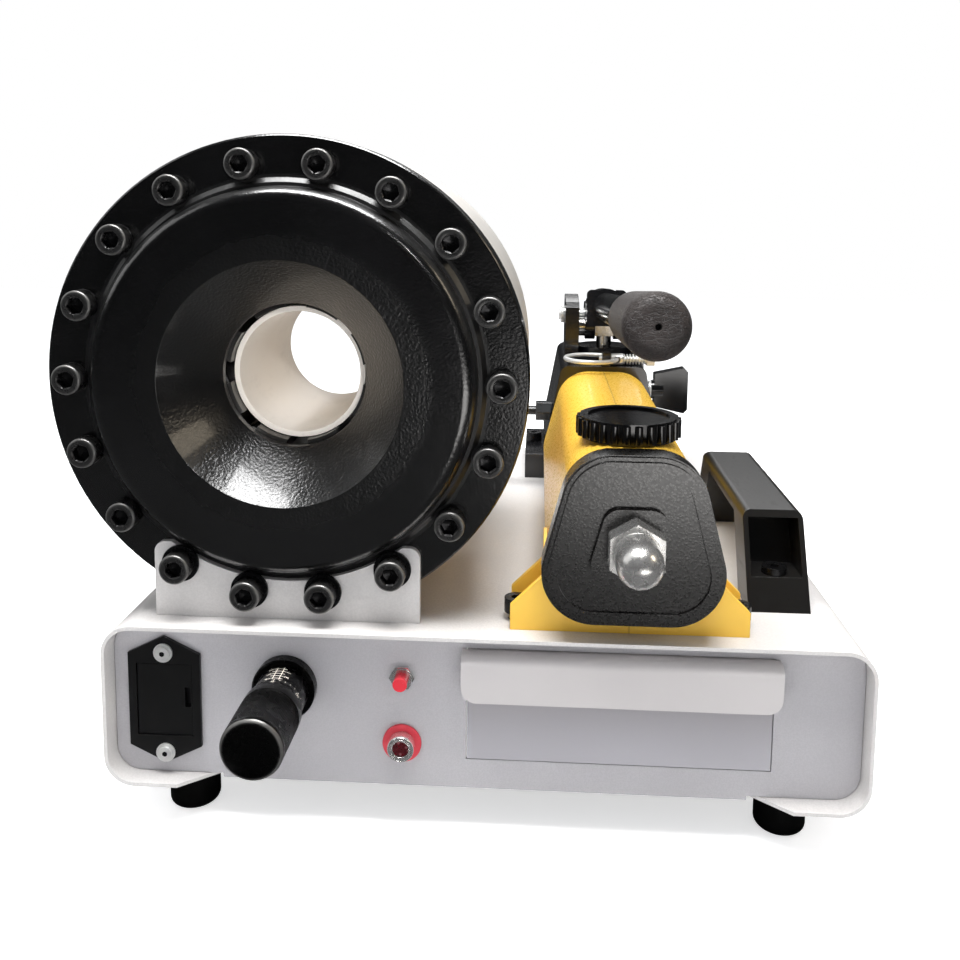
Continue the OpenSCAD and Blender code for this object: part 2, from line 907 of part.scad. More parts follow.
// The outline of a head bracket about the head's axis, without its holes
module bracket_outline(arc_r) {
    foot = top_z - head_z;
    difference() {
        union() {
            translate([-bracket_w / 2, foot]) square([bracket_w, bracket_h - bracket_round]);
            translate([-bracket_w / 2, foot]) round_rect(bracket_w, bracket_h, bracket_round);
            for (s = [-1, 1]) translate([s * tab_x - tab_w / 2, foot - sheet])
                square([tab_w, sheet + 1]);
        }
        circle(r = arc_r, $fn = 96);
    }
}

module head_bracket() {
    color("gainsboro") at_head() difference() {
        slab_y(bracket_y, flange_y) bracket_outline(bracket_arc_r);
        on_bolt_circle(bracket_slots) rod_y(bracket_y - 1, flange_y + 1, bolt_hole_d);
    }
}

module rear_bracket() {
    color("gainsboro") at_head() difference() {
        slab_y(cover_back, cover_back + bracket_t) bracket_outline(bracket_arc_r);
        on_bolt_circle(bracket_slots) rod_y(cover_back - 1, cover_back + bracket_t + 1, bolt_hole_d);
    }
}

module cylinder_housing() {
    bore_r = housing_bore / 2;
    r = housing_d / 2;
    color("lightgray") at_head() difference() {
        turned_y([
            [bore_r, flange_back],
            [r - rim_edge, flange_back],
            [r, flange_back + rim_edge],
            [r, housing_back],
            [bore_r, housing_back]
        ]);
        on_bolt_circle(all_slots) rod_y(flange_back - 1, flange_back + bolt_grip + 2, bolt_d);
        on_bolt_circle(all_slots) rod_y(housing_back - bolt_grip - 2, housing_back + 1, bolt_d);
    }
}

module rear_cover() {
    r = housing_d / 2;
    color("lightgray") at_head() difference() {
        turned_y([
            [hub_bore / 2, hub_front],
            [hub_r, hub_front],
            [hub_r, housing_back],
            [r, housing_back],
            [r, cover_back - rim_edge * 3],
            [r - rim_edge * 3, cover_back],
            [hub_bore / 2 + rim_edge * 2, cover_back],
            [hub_bore / 2, cover_back - rim_edge * 2]
        ]);
        on_bolt_circle(all_slots) rod_y(housing_back - 1, cover_back + 1, bolt_hole_d);
        translate([pipe_x - head_x, 0, pipe_z - head_z])
            rod_y(cover_back - pipe_port_depth, cover_back + 1, pipe_d + 2 * run);
    }
}

module rear_bolts() {
    color("#2b2b2b") at_head() {
        on_bolt_circle(flange_slots) translate([0, cover_back, 0]) mirror([0, 1, 0])
            socket_screw(bolt_head_d, rear_bolt_head_h, bolt_d - 2 * run, cover_t + bolt_grip, socket_af);
        on_bolt_circle(bracket_slots) translate([0, cover_back + bracket_t, 0]) mirror([0, 1, 0])
            socket_screw(bolt_head_d, rear_bolt_head_h, bolt_d - 2 * run, cover_t + bolt_grip, socket_af);
    }
}

// Radius of the piston's cone at a place along y, at rest
function cone_r(y) = piston_bore_r + cone_slope * (cone_end - y);

module piston() {
    r = housing_bore / 2 - run;
    back = piston_front + piston_l;
    land = 2;
    groove = 3;
    color("silver") at_head() turned_y([
        [cone_r(piston_front), piston_front],
        [r - rim_edge, piston_front],
        [r, piston_front + rim_edge],
        [r, back - 6 * land],
        [r - groove, back - 6 * land],
        [r - groove, back - 3 * land],
        [r, back - 3 * land],
        [r, back - rim_edge],
        [r - rim_edge, back],
        [piston_bore_r, back],
        [piston_bore_r, cone_end]
    ]);
}

// A master die about the head's axis, pointing along +x: a nose that grips
// the fitting, flaring to a wedge whose back rides in the piston's cone
module die_blank() {
    half = die_step / 2;
    outer = cone_r(die_front);
    flare_r = die_nose_r + nose_depth + nose_flare;
    flank = function(r) r * tan(half) - die_gap / cos(half);
    intersection() {
        difference() {
            turned_y([
                [die_nose_r, die_front],
                [cone_r(die_front) - seat, die_front],
                [cone_r(die_back) - seat, die_back],
                [die_nose_r, die_back]
            ]);
        }
        slab_y(die_front - 1, die_back + 1) polygon([
            [die_nose_r - 4, -die_nose_w / 2],
            [die_nose_r + nose_depth, -die_nose_w / 2],
            [flare_r, -flank(flare_r)],
            [outer, -flank(outer)],
            [outer, flank(outer)],
            [flare_r, flank(flare_r)],
            [die_nose_r + nose_depth, die_nose_w / 2],
            [die_nose_r - 4, die_nose_w / 2]
        ]);
    }
    for (y = [die_front + 8, die_back - 12]) translate([pin_r, y, -die_nose_w / 2 - pin_l])
        cylinder(d = pin_d, h = pin_l + 1);
}

module master_die(number) {
    color("dimgray") at_head() rotate([0, -(number - 0.5) * die_step, 0]) die_blank();
}

module liner_sleeve() {
    color("ivory") at_head() difference() {
        rod_y(liner_front, liner_front + liner_l, liner_d);
        rod_y(liner_front - 1, liner_front + liner_l + 1, liner_d - 2 * liner_wall);
    }
}

// ---- Pressure pipe ----

module pressure_pipe() {
    color("#303030") {
        translate([0, pipe_y, pipe_z]) rod_x(pipe_x + pipe_bend_r, pipe_wall_x - 1, pipe_d);
        translate([pipe_x, 0, pipe_z])
            rod_y(cover_back - pipe_port_depth + seat, pipe_y - pipe_bend_r, pipe_d);
        translate([pipe_x + pipe_bend_r, pipe_y - pipe_bend_r, pipe_z]) rotate([0, 0, 90])
            rotate_extrude(angle = 90) translate([pipe_bend_r, 0]) circle(d = pipe_d);
    }
}

module pipe_nuts() {
    bore = pipe_d + 2 * run;
    color("silver") {
        translate([pipe_x, 0, pipe_z]) difference() {
            slab_y(cover_back, cover_back + pipe_nut_l) hexagon(pipe_nut_af);
            rod_y(cover_back - 1, cover_back + pipe_nut_l + 1, bore);
        }
        difference() {
            translate([0, pipe_y, pipe_z]) slab_x(pipe_wall_x - pipe_nut_l, pipe_wall_x + pipe_nut_af / 4)
                hexagon(pipe_nut_af);
            translate([0, pipe_y, pipe_z]) rod_x(pipe_wall_x - pipe_nut_l - 1, pipe_wall_x + pipe_nut_af, bore);
            at_pump() slab_y(pipe_y - pipe_nut_af, pipe_y + pipe_nut_af) block_section(seat);
        }
    }
}

// ---- Pump ----

module pump_tank() {
    color("gold") {
        at_pump() slab_y(tank_y, tank_back) tank_section();
        translate([pump_x, filler_place_y, tank_top - 1])
            cylinder(d = filler_neck_d, h = filler_neck_h + 1);
    }
}

// Outline of a saddle fin about the pump's middle, z from the base top
module fin_outline() {
    half = saddle_w / 2;
    polygon([
        [-half, 0],
        [half, 0],
        [half, saddle_edge_h],
        [half - saddle_shoulder, saddle_edge_h + saddle_shoulder],
        [half - saddle_shoulder, saddle_wrap],
        [saddle_shoulder - half, saddle_wrap],
        [saddle_shoulder - half, saddle_edge_h + saddle_shoulder],
        [-half, saddle_edge_h]
    ]);
}

module pump_saddle() {
    back = pump_y + saddle_l;
    half = saddle_w / 2;
    color("goldenrod") difference() {
        union() {
            translate([pump_x, 0, top_z]) {
                slab_y(pump_y, pump_y + saddle_fin) fin_outline();
                slab_y(back - saddle_fin, back) fin_outline();
                block([-half, pump_y, 0], [half, back, saddle_base]);
                block([saddle_shoulder - half, pump_y, 0], [half - saddle_shoulder, back, saddle_wrap]);
            }
        }
        at_pump() slab_y(pump_y - 1, back + 1) tank_section(seat);
        for (p = saddle_spots) translate([p[0], p[1], top_z - 1])
            cylinder(d = m8_d + hole_extra, h = saddle_base + 2);
    }
}

module pad_outline() {
    body_section([cap_pad_w / 2 - cap_pad_r, cap_pad_r], cap_pad_r,
                 [cap_pad_top_w / 2 - cap_pad_r, cap_pad_h - cap_pad_r], cap_pad_r);
}

module tank_end_cap() {
    middle = acorn_z - tank_z;
    color("#181818") difference() {
        at_pump() {
            slab_y(cap_front + cap_rim, tank_y) tank_section(cap_proud);
            slab_y(cap_front + cap_rim / 2, cap_front + cap_rim + eps) tank_section(cap_proud - 0.8);
            slab_y(cap_front, cap_front + cap_rim / 2 + eps) difference() {
                tank_section(cap_proud - cap_rim);
                tank_section(-cap_border);
            }
            translate([0, 0, middle - cap_pad_h / 2])
                slab_y(cap_front + cap_sink - cap_pad_rise, cap_front + cap_rim) pad_outline();
        }
        translate([pump_x, 0, acorn_z]) rod_y(cap_front - cap_pad_rise, cap_front + cap_rim + 4, 10);
    }
}

module acorn_nut() {
    y0 = cap_front + cap_sink - cap_pad_rise;
    tip = y0 - acorn_hex_h - acorn_neck;
    color("silver") translate([pump_x, 0, acorn_z]) {
        slab_y(y0 - acorn_hex_h, y0) rotate(30) hexagon(nut_af);
        rod_y(tip, y0 - acorn_hex_h + eps, 2 * acorn_dome_r);
        translate([0, tip, 0]) sphere(r = acorn_dome_r);
        rod_y(y0 - eps, cap_front + cap_rim + 3, 10 - 2 * run);
    }
}

module filler_cap() {
    lobe_r = filler_d / 2 - filler_lobe_d / 2;
    color("#181818") translate([pump_x, filler_place_y, tank_top + slip]) difference() {
        union() {
            cylinder(r = lobe_r, h = filler_h);
            for (i = [0 : filler_lobes - 1]) rotate(i * 360 / filler_lobes)
                translate([lobe_r, 0, 1]) cylinder(d = filler_lobe_d, h = filler_h - 2);
        }
        translate([0, 0, filler_h - filler_dish]) cylinder(d = filler_dish_d, h = filler_dish + 1);
        translate([0, 0, -1]) cylinder(d = filler_neck_d + 2 * seat, h = filler_neck_h + 1 + seat);
    }
}

module pump_screws() {
    color("#202020") {
        for (p = saddle_spots) translate([p[0], p[1], top_z + saddle_base])
            through_screw(m8_head_d, m8_head_h, m8_d - 2 * run, saddle_base + sheet, 5);
        for (p = rear_foot_spots) translate([p[0], p[1], top_z + rear_foot_h])
            through_screw(m8_head_d, m8_head_h, m8_d - 2 * run, rear_foot_h + sheet, 5);
    }
}

// The plunger runs in the block, and the valve's stem screws into its side
module pump_block() {
    edge = 3;
    color("#2a2a2a") difference() {
        union() {
            at_pump() slab_y(block_y, block_back - edge) block_section();
            at_pump() slab_y(block_back - edge - eps, block_back) block_section(-edge);
            translate([lock_lug_x, lock_y - lock_lug_l / 2, block_top - 2])
                cube([lock_lug_w, lock_lug_l, lock_z - block_top + 7]);
        }
        translate([lever_x, plunger_y, pin_z - plunger_foot - 20])
            cylinder(d = plunger_d + 2 * run, h = plunger_foot + 40);
        translate([0, valve_y, valve_z])
            rod_x(valve_wall_x - valve_sink - 1, base_w, valve_d + 2 * run);
        translate([0, lock_y, lock_z])
            rod_x(lock_lug_x - 1, lock_lug_x + lock_lug_w + 1, lock_pin_d + 2 * run);
    }
}

module rear_foot() {
    half = rear_foot_w / 2;
    color("#202020") difference() {
        block([pump_x - half, rear_foot_y, top_z],
              [pump_x + half, rear_foot_back, top_z + rear_foot_h]);
        at_pump() slab_y(rear_foot_y - 1, rear_foot_back + 1) block_section(seat);
        for (p = rear_foot_spots) translate([p[0], p[1], top_z - 1])
            cylinder(d = m8_d + hole_extra, h = rear_foot_h + 2);
    }
}

module plunger_neck() {
    color("#202020") difference() {
        translate([lever_x, neck_y, block_top]) cylinder(d = neck_d, h = neck_h);
        translate([lever_x, plunger_y, block_top - 1]) cylinder(d = plunger_d + 2 * run, h = neck_h + 2);
        at_pump() slab_y(cheek_y - 1, cheek_y + cheek_l + 1) for (s = [0, 1]) mirror([s, 0, 0])
            translate([cheek_gap / 2 - seat + (1 - 2 * s) * (lever_x - pump_x), 0])
                square([cheek_t + 2 * seat, block_h + neck_h + 1]);
    }
}

// A rod with a flat head between the lever's links, and the pin through it
module plunger() {
    rod_top = pin_z - link_pin_d;
    reach = link_gap / 2 + link_t;
    color("silver") translate([lever_x, plunger_y, 0]) {
        translate([0, 0, pin_z - plunger_foot]) cylinder(d = plunger_d, h = rod_top - pin_z + plunger_foot);
        slab_x(-plunger_head_w / 2, plunger_head_w / 2) {
            translate([-plunger_d / 2, rod_top - eps]) square([plunger_d, link_pin_d]);
            translate([0, pin_z]) circle(d = plunger_d);
        }
        translate([0, 0, pin_z]) {
            rod_x(-reach - seat - eps, reach + seat + eps, link_pin_d);
            for (s = [0, 1]) mirror([s, 0, 0])
                rod_x(reach + seat, reach + seat + link_pin_head, link_pin_d + 5);
        }
    }
}

// Two cheeks on the block's shoulders that hold the pivot bolt
module lever_bracket() {
    half = cheek_gap / 2 + cheek_t;
    low = block_top - 30;
    color("#1c1c1c") difference() {
        translate([lever_x, 0, 0]) {
            for (s = [0, 1]) mirror([s, 0, 0]) slab_x(cheek_gap / 2, half) difference() {
                polygon([
                    [cheek_y, low],
                    [cheek_y + cheek_l, low],
                    [cheek_y + cheek_l, pivot_z],
                    for (a = [0 : 15 : 90])
                        [pivot_y + 15 * cos(a), pivot_z + cheek_top_h - 15 + 15 * sin(a)],
                    [cheek_y + 4, pivot_z + cheek_front_h],
                    [cheek_y, pivot_z + cheek_front_h - 4]
                ]);
            }
            block([-half, cheek_y + cheek_l - 8, block_top + neck_h + 4],
                  [half, cheek_y + cheek_l, pivot_z - link_r - 2]);
        }
        translate([lever_x, pivot_y, pivot_z]) rod_x(-half - 1, half + 1, pivot_d + 2 * run);
        at_pump() slab_y(cheek_y - 1, cheek_y + cheek_l + 1) block_section(seat);
    }
}

module pivot_bolt() {
    half = cheek_gap / 2 + cheek_t;
    color("silver") translate([lever_x, pivot_y, pivot_z]) {
        rod_x(-half - seat, half + seat, pivot_d);
        for (s = [0, 1]) mirror([s, 0, 0]) {
            rod_x(half, half + pivot_head_h, pivot_head_d);
            rod_x(half + pivot_head_h - eps, half + pivot_head_h + 1.5, pivot_head_d - 5);
        }
    }
}

// Moves children into the lever's own line: y back along the handle from the
// pivot, z square to it
module at_lever() {
    translate([lever_x, pivot_y, pivot_z]) rotate([-lever_angle, 0, 0]) translate([0, 0, tube_rise])
        children();
}

// The rocking part: two links from the pivot bolt to the plunger's pin, the
// socket for the handle tube and the notched clamp plate at its mouth
module lever_socket() {
    slot_y = pivot_y - plunger_arm;
    color("#1c1c1c") difference() {
        union() {
            for (s = [-1, 1]) slab_x(lever_x + s * (link_gap + link_t) / 2 - link_t / 2,
                                     lever_x + s * (link_gap + link_t) / 2 + link_t / 2) {
                translate([pivot_y, pivot_z]) circle(r = link_r);
                translate([slot_y, pin_z]) circle(r = link_r);
                polygon([
                    [pivot_y, pivot_z + link_r],
                    [slot_y, pivot_z + link_r],
                    [slot_y - link_r, pin_z],
                    [slot_y, pin_z - link_r],
                    [pivot_y, pivot_z - link_r]
                ]);
            }
            at_lever() {
                rod_y(-socket_front, socket_back, socket_d);
                difference() {
                    slab_y(-socket_front - clamp_t, -socket_front + eps)
                        translate([-clamp_w / 2, -clamp_low]) round_rect(clamp_w, clamp_low + clamp_high, 4);
                    translate([-clamp_notch / 2, -socket_front - clamp_t - 1, clamp_high - 3])
                        cube([clamp_notch, clamp_t + 2, 4]);
                }
            }
        }
        at_lever() rod_y(-socket_front - clamp_t - 1, -tube_stop, tube_d + 2 * run);
        translate([lever_x, pivot_y, pivot_z]) rod_x(-link_gap - link_t, link_gap + link_t, pivot_d + 2 * run);
        slab_x(lever_x - link_gap - link_t, lever_x + link_gap + link_t) {
            for (s = [-1, 1]) translate([slot_y + s * slot_l / 2, pin_z]) circle(d = link_pin_d + 2 * slip);
            translate([slot_y - slot_l / 2, pin_z - link_pin_d / 2 - slip])
                square([slot_l, link_pin_d + 2 * slip]);
        }
        block([lever_x - link_gap / 2, slot_y - slot_front, pin_z - 14],
              [lever_x + link_gap / 2, slot_y + slot_back, pin_z + 7.5]);
    }
}

module handle_tube() {
    color("#202020") at_lever() rod_y(grip_end - lever_l, -tube_stop, tube_d);
}

module handle_grip() {
    r = grip_d / 2;
    far_r = grip_far_d / 2;
    color("#2c2a2a") at_lever() difference() {
        translate([0, -lever_l, 0]) turned_y([
            [0, 0],
            for (a = [0 : 18 : 90])
                [r - grip_round + grip_round * sin(a), grip_round - grip_round * cos(a)],
            [far_r, grip_l - 3],
            [far_r - 3, grip_l],
            [0, grip_l]
        ]);
        rod_y(grip_end - lever_l, grip_l - lever_l + 1, tube_d + 2 * run);
        rod_y(-lever_l - 1, grip_end - lever_l + 1, grip_vent_d);
    }
}

// ---- Release valve and lock pin ----

module release_stem() {
    color("silver") translate([0, valve_y, valve_z]) {
        rod_x(valve_wall_x - valve_sink, valve_wall_x + valve_bare + valve_grip, valve_d);
        rod_x(valve_wall_x + valve_bare - 1.8, valve_wall_x + valve_bare - 0.2, valve_d + 5);
    }
}

// A flat wing knob, wider at its outer end
module release_knob() {
    x0 = valve_wall_x + valve_bare;
    color("#202020") translate([0, valve_y, valve_z]) difference() {
        union() {
            rod_x(x0, x0 + 9, knob_hub_d);
            slab_y(-knob_t / 2, knob_t / 2) polygon([
                [x0 + 2, -knob_h / 2 + 5],
                [x0 + knob_w - 3, -knob_h / 2],
                [x0 + knob_w, -knob_h / 2 + 3],
                [x0 + knob_w, knob_h / 2 - 3],
                [x0 + knob_w - 3, knob_h / 2],
                [x0 + 2, knob_h / 2 - 5]
            ]);
        }
        rod_x(x0 - 1, valve_wall_x + valve_bare + valve_grip, valve_d);
    }
}

// The stud through the lug, with an eye for the pull ring and an end nut
module lock_pin() {
    spring_x = lock_eye_x + lock_eye_l / 2;
    color("silver") translate([0, lock_y, lock_z]) difference() {
        union() {
            rod_x(lock_lug_x - 2, spring_x + lock_spring_l + lock_nut_l, lock_pin_d);
            rod_x(lock_eye_x - lock_eye_l / 2, lock_eye_x + lock_eye_l / 2, lock_eye_d);
            slab_x(spring_x + lock_spring_l, spring_x + lock_spring_l + lock_nut_l) hexagon(lock_nut_d);
        }
        translate([lock_eye_x, 0, 0]) rod_y(-lock_eye_d, lock_eye_d, lock_eye_bore);
    }
}

module lock_ring() {
    color("silver") translate([lock_eye_x - lock_ring_r, lock_y, lock_z]) rotate_extrude()
        translate([lock_ring_r, 0]) circle(d = lock_wire_d, $fn = 24);
}

// A short compression spring between the lug and the nut, as stacked rings
module lock_spring() {
    turns = 8;
    pitch = (lock_spring_l - lock_spring_wire - 2 * seat) / (turns - 1);
    x0 = lock_eye_x + lock_eye_l / 2 + seat + lock_spring_wire / 2;
    color("silver") translate([0, lock_y, lock_z])
        for (i = [0 : turns - 1]) translate([x0 + i * pitch, 0, 0]) rotate([0, 90, 0])
            rotate_extrude() translate([(lock_spring_d - lock_spring_wire) / 2, 0])
                circle(d = lock_spring_wire, $fn = 16);
}

// ---- Panel fittings ----

module battery_outline() {
    w = battery_w / 2;
    h = battery_h / 2;
    polygon([
        [-w, battery_peak - h],
        [0, -h],
        [w, battery_peak - h],
        [w, h - battery_peak],
        [0, h],
        [-w, h - battery_peak]
    ]);
}

module battery_box() {
    gap = seat;
    z0 = battery_tray_drop;
    color("#181818") translate([battery_x, panel_y, battery_z]) difference() {
        union() {
            slab_y(-battery_rim, 0) battery_outline();
            slab_y(-eps, battery_body_l) translate([-battery_body_w / 2, -battery_body_h / 2])
                square([battery_body_w, battery_body_h]);
        }
        slab_y(-battery_rim - 1, battery_tray_l + gap)
            translate([-battery_tray_w / 2 - gap, -battery_tray_h / 2 - gap - z0 + 3])
                square([battery_tray_w + 2 * gap, battery_tray_h + 2 * gap]);
        for (z = battery_screw_z) translate([0, 0, z]) rod_y(-battery_rim - 1, 3, battery_screw_bore);
    }
}

module battery_tray() {
    color("#202020") translate([battery_x, panel_y, battery_z]) difference() {
        block([-battery_tray_w / 2, -battery_rim + 0.6, -battery_tray_h / 2],
              [battery_tray_w / 2, battery_tray_l, battery_tray_h / 2]);
        block([battery_tray_w / 2 - 4, -battery_rim - 1, -4], [battery_tray_w / 2 - 1, 2, 7]);
    }
}

module battery_screws() {
    color("silver") translate([battery_x, panel_y - battery_rim, battery_z])
        for (z = battery_screw_z) translate([0, 0, z]) difference() {
            union() {
                rod_y(-1.2, 0, battery_screw_d);
                rod_y(-2.4, -1, battery_screw_d - 3);
                rod_y(-eps, battery_rim + panel_t, battery_shank_d);
            }
            slab_y(-3, -1.6) hexagon(2.5);
        }
}

// Fixed scale barrel, screwed through the panel
module dial_barrel() {
    collar_r = dial_collar_d / 2;
    barrel_r = dial_barrel_d / 2;
    color("#202020") at_dial() {
        turned_y([
            [0, -dial_collar_l - dial_barrel_l],
            [barrel_r, -dial_collar_l - dial_barrel_l],
            [barrel_r, -dial_collar_l],
            [collar_r - 1, -dial_collar_l],
            [collar_r, 1 - dial_collar_l],
            [collar_r, 0],
            [dial_spindle_d / 2 + 2.5, 0],
            [dial_spindle_d / 2 + 2.5, panel_t + 8],
            [0, panel_t + 8]
        ]);
        slab_y(panel_t, panel_t + 5) hexagon(20);
    }
}

module dial_thimble() {
    start = -dial_collar_l - dial_barrel_l;
    r = dial_d / 2;
    color("#161616") at_dial() turned_y([
        [0, -dial_l],
        [r - 1.5, -dial_l],
        [r, 1.5 - dial_l],
        [r, start - seat - dial_bevel_l],
        [dial_barrel_d / 2 + 0.4, start - seat],
        [0, start - seat]
    ]);
}

module button_nut() {
    bore = button_cap_d + 2 * run;
    color("silver") translate([button_side, panel_y, button_z]) difference() {
        union() {
            slab_y(-button_nut_h, 0) circle(d = button_nut_d, $fn = 6);
            rod_y(-button_nut_h - button_neck, eps, button_cap_d + 3);
            rod_y(-eps, 14, button_cap_d + 2);
        }
        rod_y(-button_nut_h - 3, 11, bore);
    }
}

module button_cap() {
    color("red") translate([button_side, panel_y, button_z]) {
        rod_y(-button_reach, 11 - button_travel - seat, button_cap_d);
    }
}

module lamp_gasket() {
    color("firebrick") translate([button_side, panel_y, lamp_z]) difference() {
        rod_y(-lamp_gasket_t, 0, lamp_gasket_d);
        rod_y(-lamp_gasket_t - 1, 1, lamp_lens_d + 0.4);
    }
}

module lamp_bezel() {
    r = lamp_bezel_d / 2;
    bore_r = lamp_lens_d / 2;
    color("silver") translate([button_side, panel_y, lamp_z]) difference() {
        turned_y([
            [bore_r - 1, 1 - lamp_reach],
            [bore_r + 0.4, -lamp_reach],
            [r - 1, -lamp_reach],
            [r, 1 - lamp_reach],
            [r, -lamp_gasket_t],
            [bore_r - 1, -lamp_gasket_t]
        ]);
        rod_y(2 - lamp_reach, 1, lamp_lens_d);
    }
}

module lamp_lens() {
    color("darkred") translate([button_side, panel_y, lamp_z])
        rod_y(2 - lamp_reach + run, lamp_back_l, lamp_lens_d - 2 * run);
}

// ---- Assembly ----

translate([-origin_x, -origin_y, 0]) {
    base_shell();
    front_panel();
    rear_panel();
    drawer_rails();
    drawer_box();
    drawer_front();
    rubber_feet();
    foot_screws();
    carry_handle();
    carry_screws();
    head_bracket();
    rear_bracket();
    bracket_bolts();
    front_flange();
    flange_bolts();
    cylinder_housing();
    rear_cover();
    rear_bolts();
    piston();
    master_die(1);  // master_die_1
    master_die(2);  // master_die_2
    master_die(3);  // master_die_3
    master_die(4);  // master_die_4
    master_die(5);  // master_die_5
    master_die(6);  // master_die_6
    master_die(7);  // master_die_7
    master_die(8);  // master_die_8
    liner_sleeve();
    pressure_pipe();
    pipe_nuts();
    pump_tank();
    pump_saddle();
    tank_end_cap();
    acorn_nut();
    filler_cap();
    pump_screws();
    pump_block();
    rear_foot();
    plunger_neck();
    plunger();
    lever_bracket();
    pivot_bolt();
    lever_socket();
    handle_tube();
    handle_grip();
    release_stem();
    release_knob();
    lock_pin();
    lock_spring();
    lock_ring();
    battery_box();
    battery_tray();
    battery_screws();
    dial_barrel();
    dial_thimble();
    button_nut();
    button_cap();
    lamp_gasket();
    lamp_bezel();
    lamp_lens();
}
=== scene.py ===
import json
import math

import bmesh
import bpy
from mathutils import Euler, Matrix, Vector

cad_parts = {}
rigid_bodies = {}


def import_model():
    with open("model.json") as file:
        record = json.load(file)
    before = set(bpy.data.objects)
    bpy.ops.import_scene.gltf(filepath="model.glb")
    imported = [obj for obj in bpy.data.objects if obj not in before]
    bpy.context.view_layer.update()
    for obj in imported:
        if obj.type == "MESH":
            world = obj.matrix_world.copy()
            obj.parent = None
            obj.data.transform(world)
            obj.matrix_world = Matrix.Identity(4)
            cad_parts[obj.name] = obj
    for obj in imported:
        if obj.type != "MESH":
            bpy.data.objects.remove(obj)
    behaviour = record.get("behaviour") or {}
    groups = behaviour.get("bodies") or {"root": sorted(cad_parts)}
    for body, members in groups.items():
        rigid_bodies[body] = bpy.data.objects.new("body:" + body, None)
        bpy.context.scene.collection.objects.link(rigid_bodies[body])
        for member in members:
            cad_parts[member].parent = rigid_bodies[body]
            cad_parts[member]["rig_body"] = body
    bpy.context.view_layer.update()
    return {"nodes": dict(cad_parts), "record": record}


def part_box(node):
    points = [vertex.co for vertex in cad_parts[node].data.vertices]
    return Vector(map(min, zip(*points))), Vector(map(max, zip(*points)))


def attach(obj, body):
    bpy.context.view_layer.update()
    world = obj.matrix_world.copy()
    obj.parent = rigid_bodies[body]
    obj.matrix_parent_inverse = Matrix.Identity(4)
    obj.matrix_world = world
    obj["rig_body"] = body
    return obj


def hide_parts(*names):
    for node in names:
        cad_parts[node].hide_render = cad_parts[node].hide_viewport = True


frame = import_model()
SUBPARTS = frame["record"]["subparts"]
SLOT = {part["node"]: part["material_slot"] for part in SUBPARTS}
MM = 0.001
TURN = 2 * math.pi
# How much paler a scuff makes dark plastic
SCUFF_LIFT = 0.006
# Light of the studio: floor as seen, even fill, room in reflections, bright card in reflections
FLOOR_GLOW, FILL, ROOM, CARD_GLOW = 0.6, 0.56, 0.025, 5.0

# ---------------------------------------------------------------- node trees


class Value:
    """A socket in a tree that can be used in sums and passed to other nodes."""

    def __init__(self, tree, socket):
        self.tree, self.socket = tree, socket

    def __add__(self, other): return self.tree.math("ADD", self, other)
    def __radd__(self, other): return self.tree.math("ADD", other, self)
    def __sub__(self, other): return self.tree.math("SUBTRACT", self, other)
    def __rsub__(self, other): return self.tree.math("SUBTRACT", other, self)
    def __mul__(self, other): return self.tree.math("MULTIPLY", self, other)
    def __rmul__(self, other): return self.tree.math("MULTIPLY", other, self)
    def __truediv__(self, other): return self.tree.math("DIVIDE", self, other)
    def __rtruediv__(self, other): return self.tree.math("DIVIDE", other, self)
    def __mod__(self, other): return self.tree.math("FLOORED_MODULO", self, other)
    def __neg__(self): return self.tree.math("MULTIPLY", self, -1)
    def __gt__(self, other): return self.tree.math("GREATER_THAN", self, other)


class Tree:
    """A shader or geometry tree with one method for every kind of node."""

    def __init__(self, nodes):
        self.nodes = nodes

    def node(self, kind, inputs=(), output=0, **settings):
        node = self.nodes.nodes.new(kind)
        for name, value in settings.items():
            setattr(node, name, value)
        for name, value in dict(inputs).items():
            socket = node.inputs[name]
            if isinstance(value, Value):
                self.nodes.links.new(value.socket, socket)
            else:
                socket.default_value = value
        return Value(self, node.outputs[output]) if node.outputs else node

    def math(self, operation, *values):
        return self.node("ShaderNodeMath", enumerate(values), operation=operation)

    def vector(self, operation, *values):
        return self.node("ShaderNodeVectorMath", enumerate(values), operation=operation)

    def blend(self, factor, a, b):
        return self.node("ShaderNodeMix", {0: factor, 6: a, 7: b}, output=2, data_type="RGBA")


def rgb(colour, level=1.0):
    """A colour at a share of its level, as a node takes it."""
    return (*(min(1.0, c * level) for c in colour[:3]), 1.0)


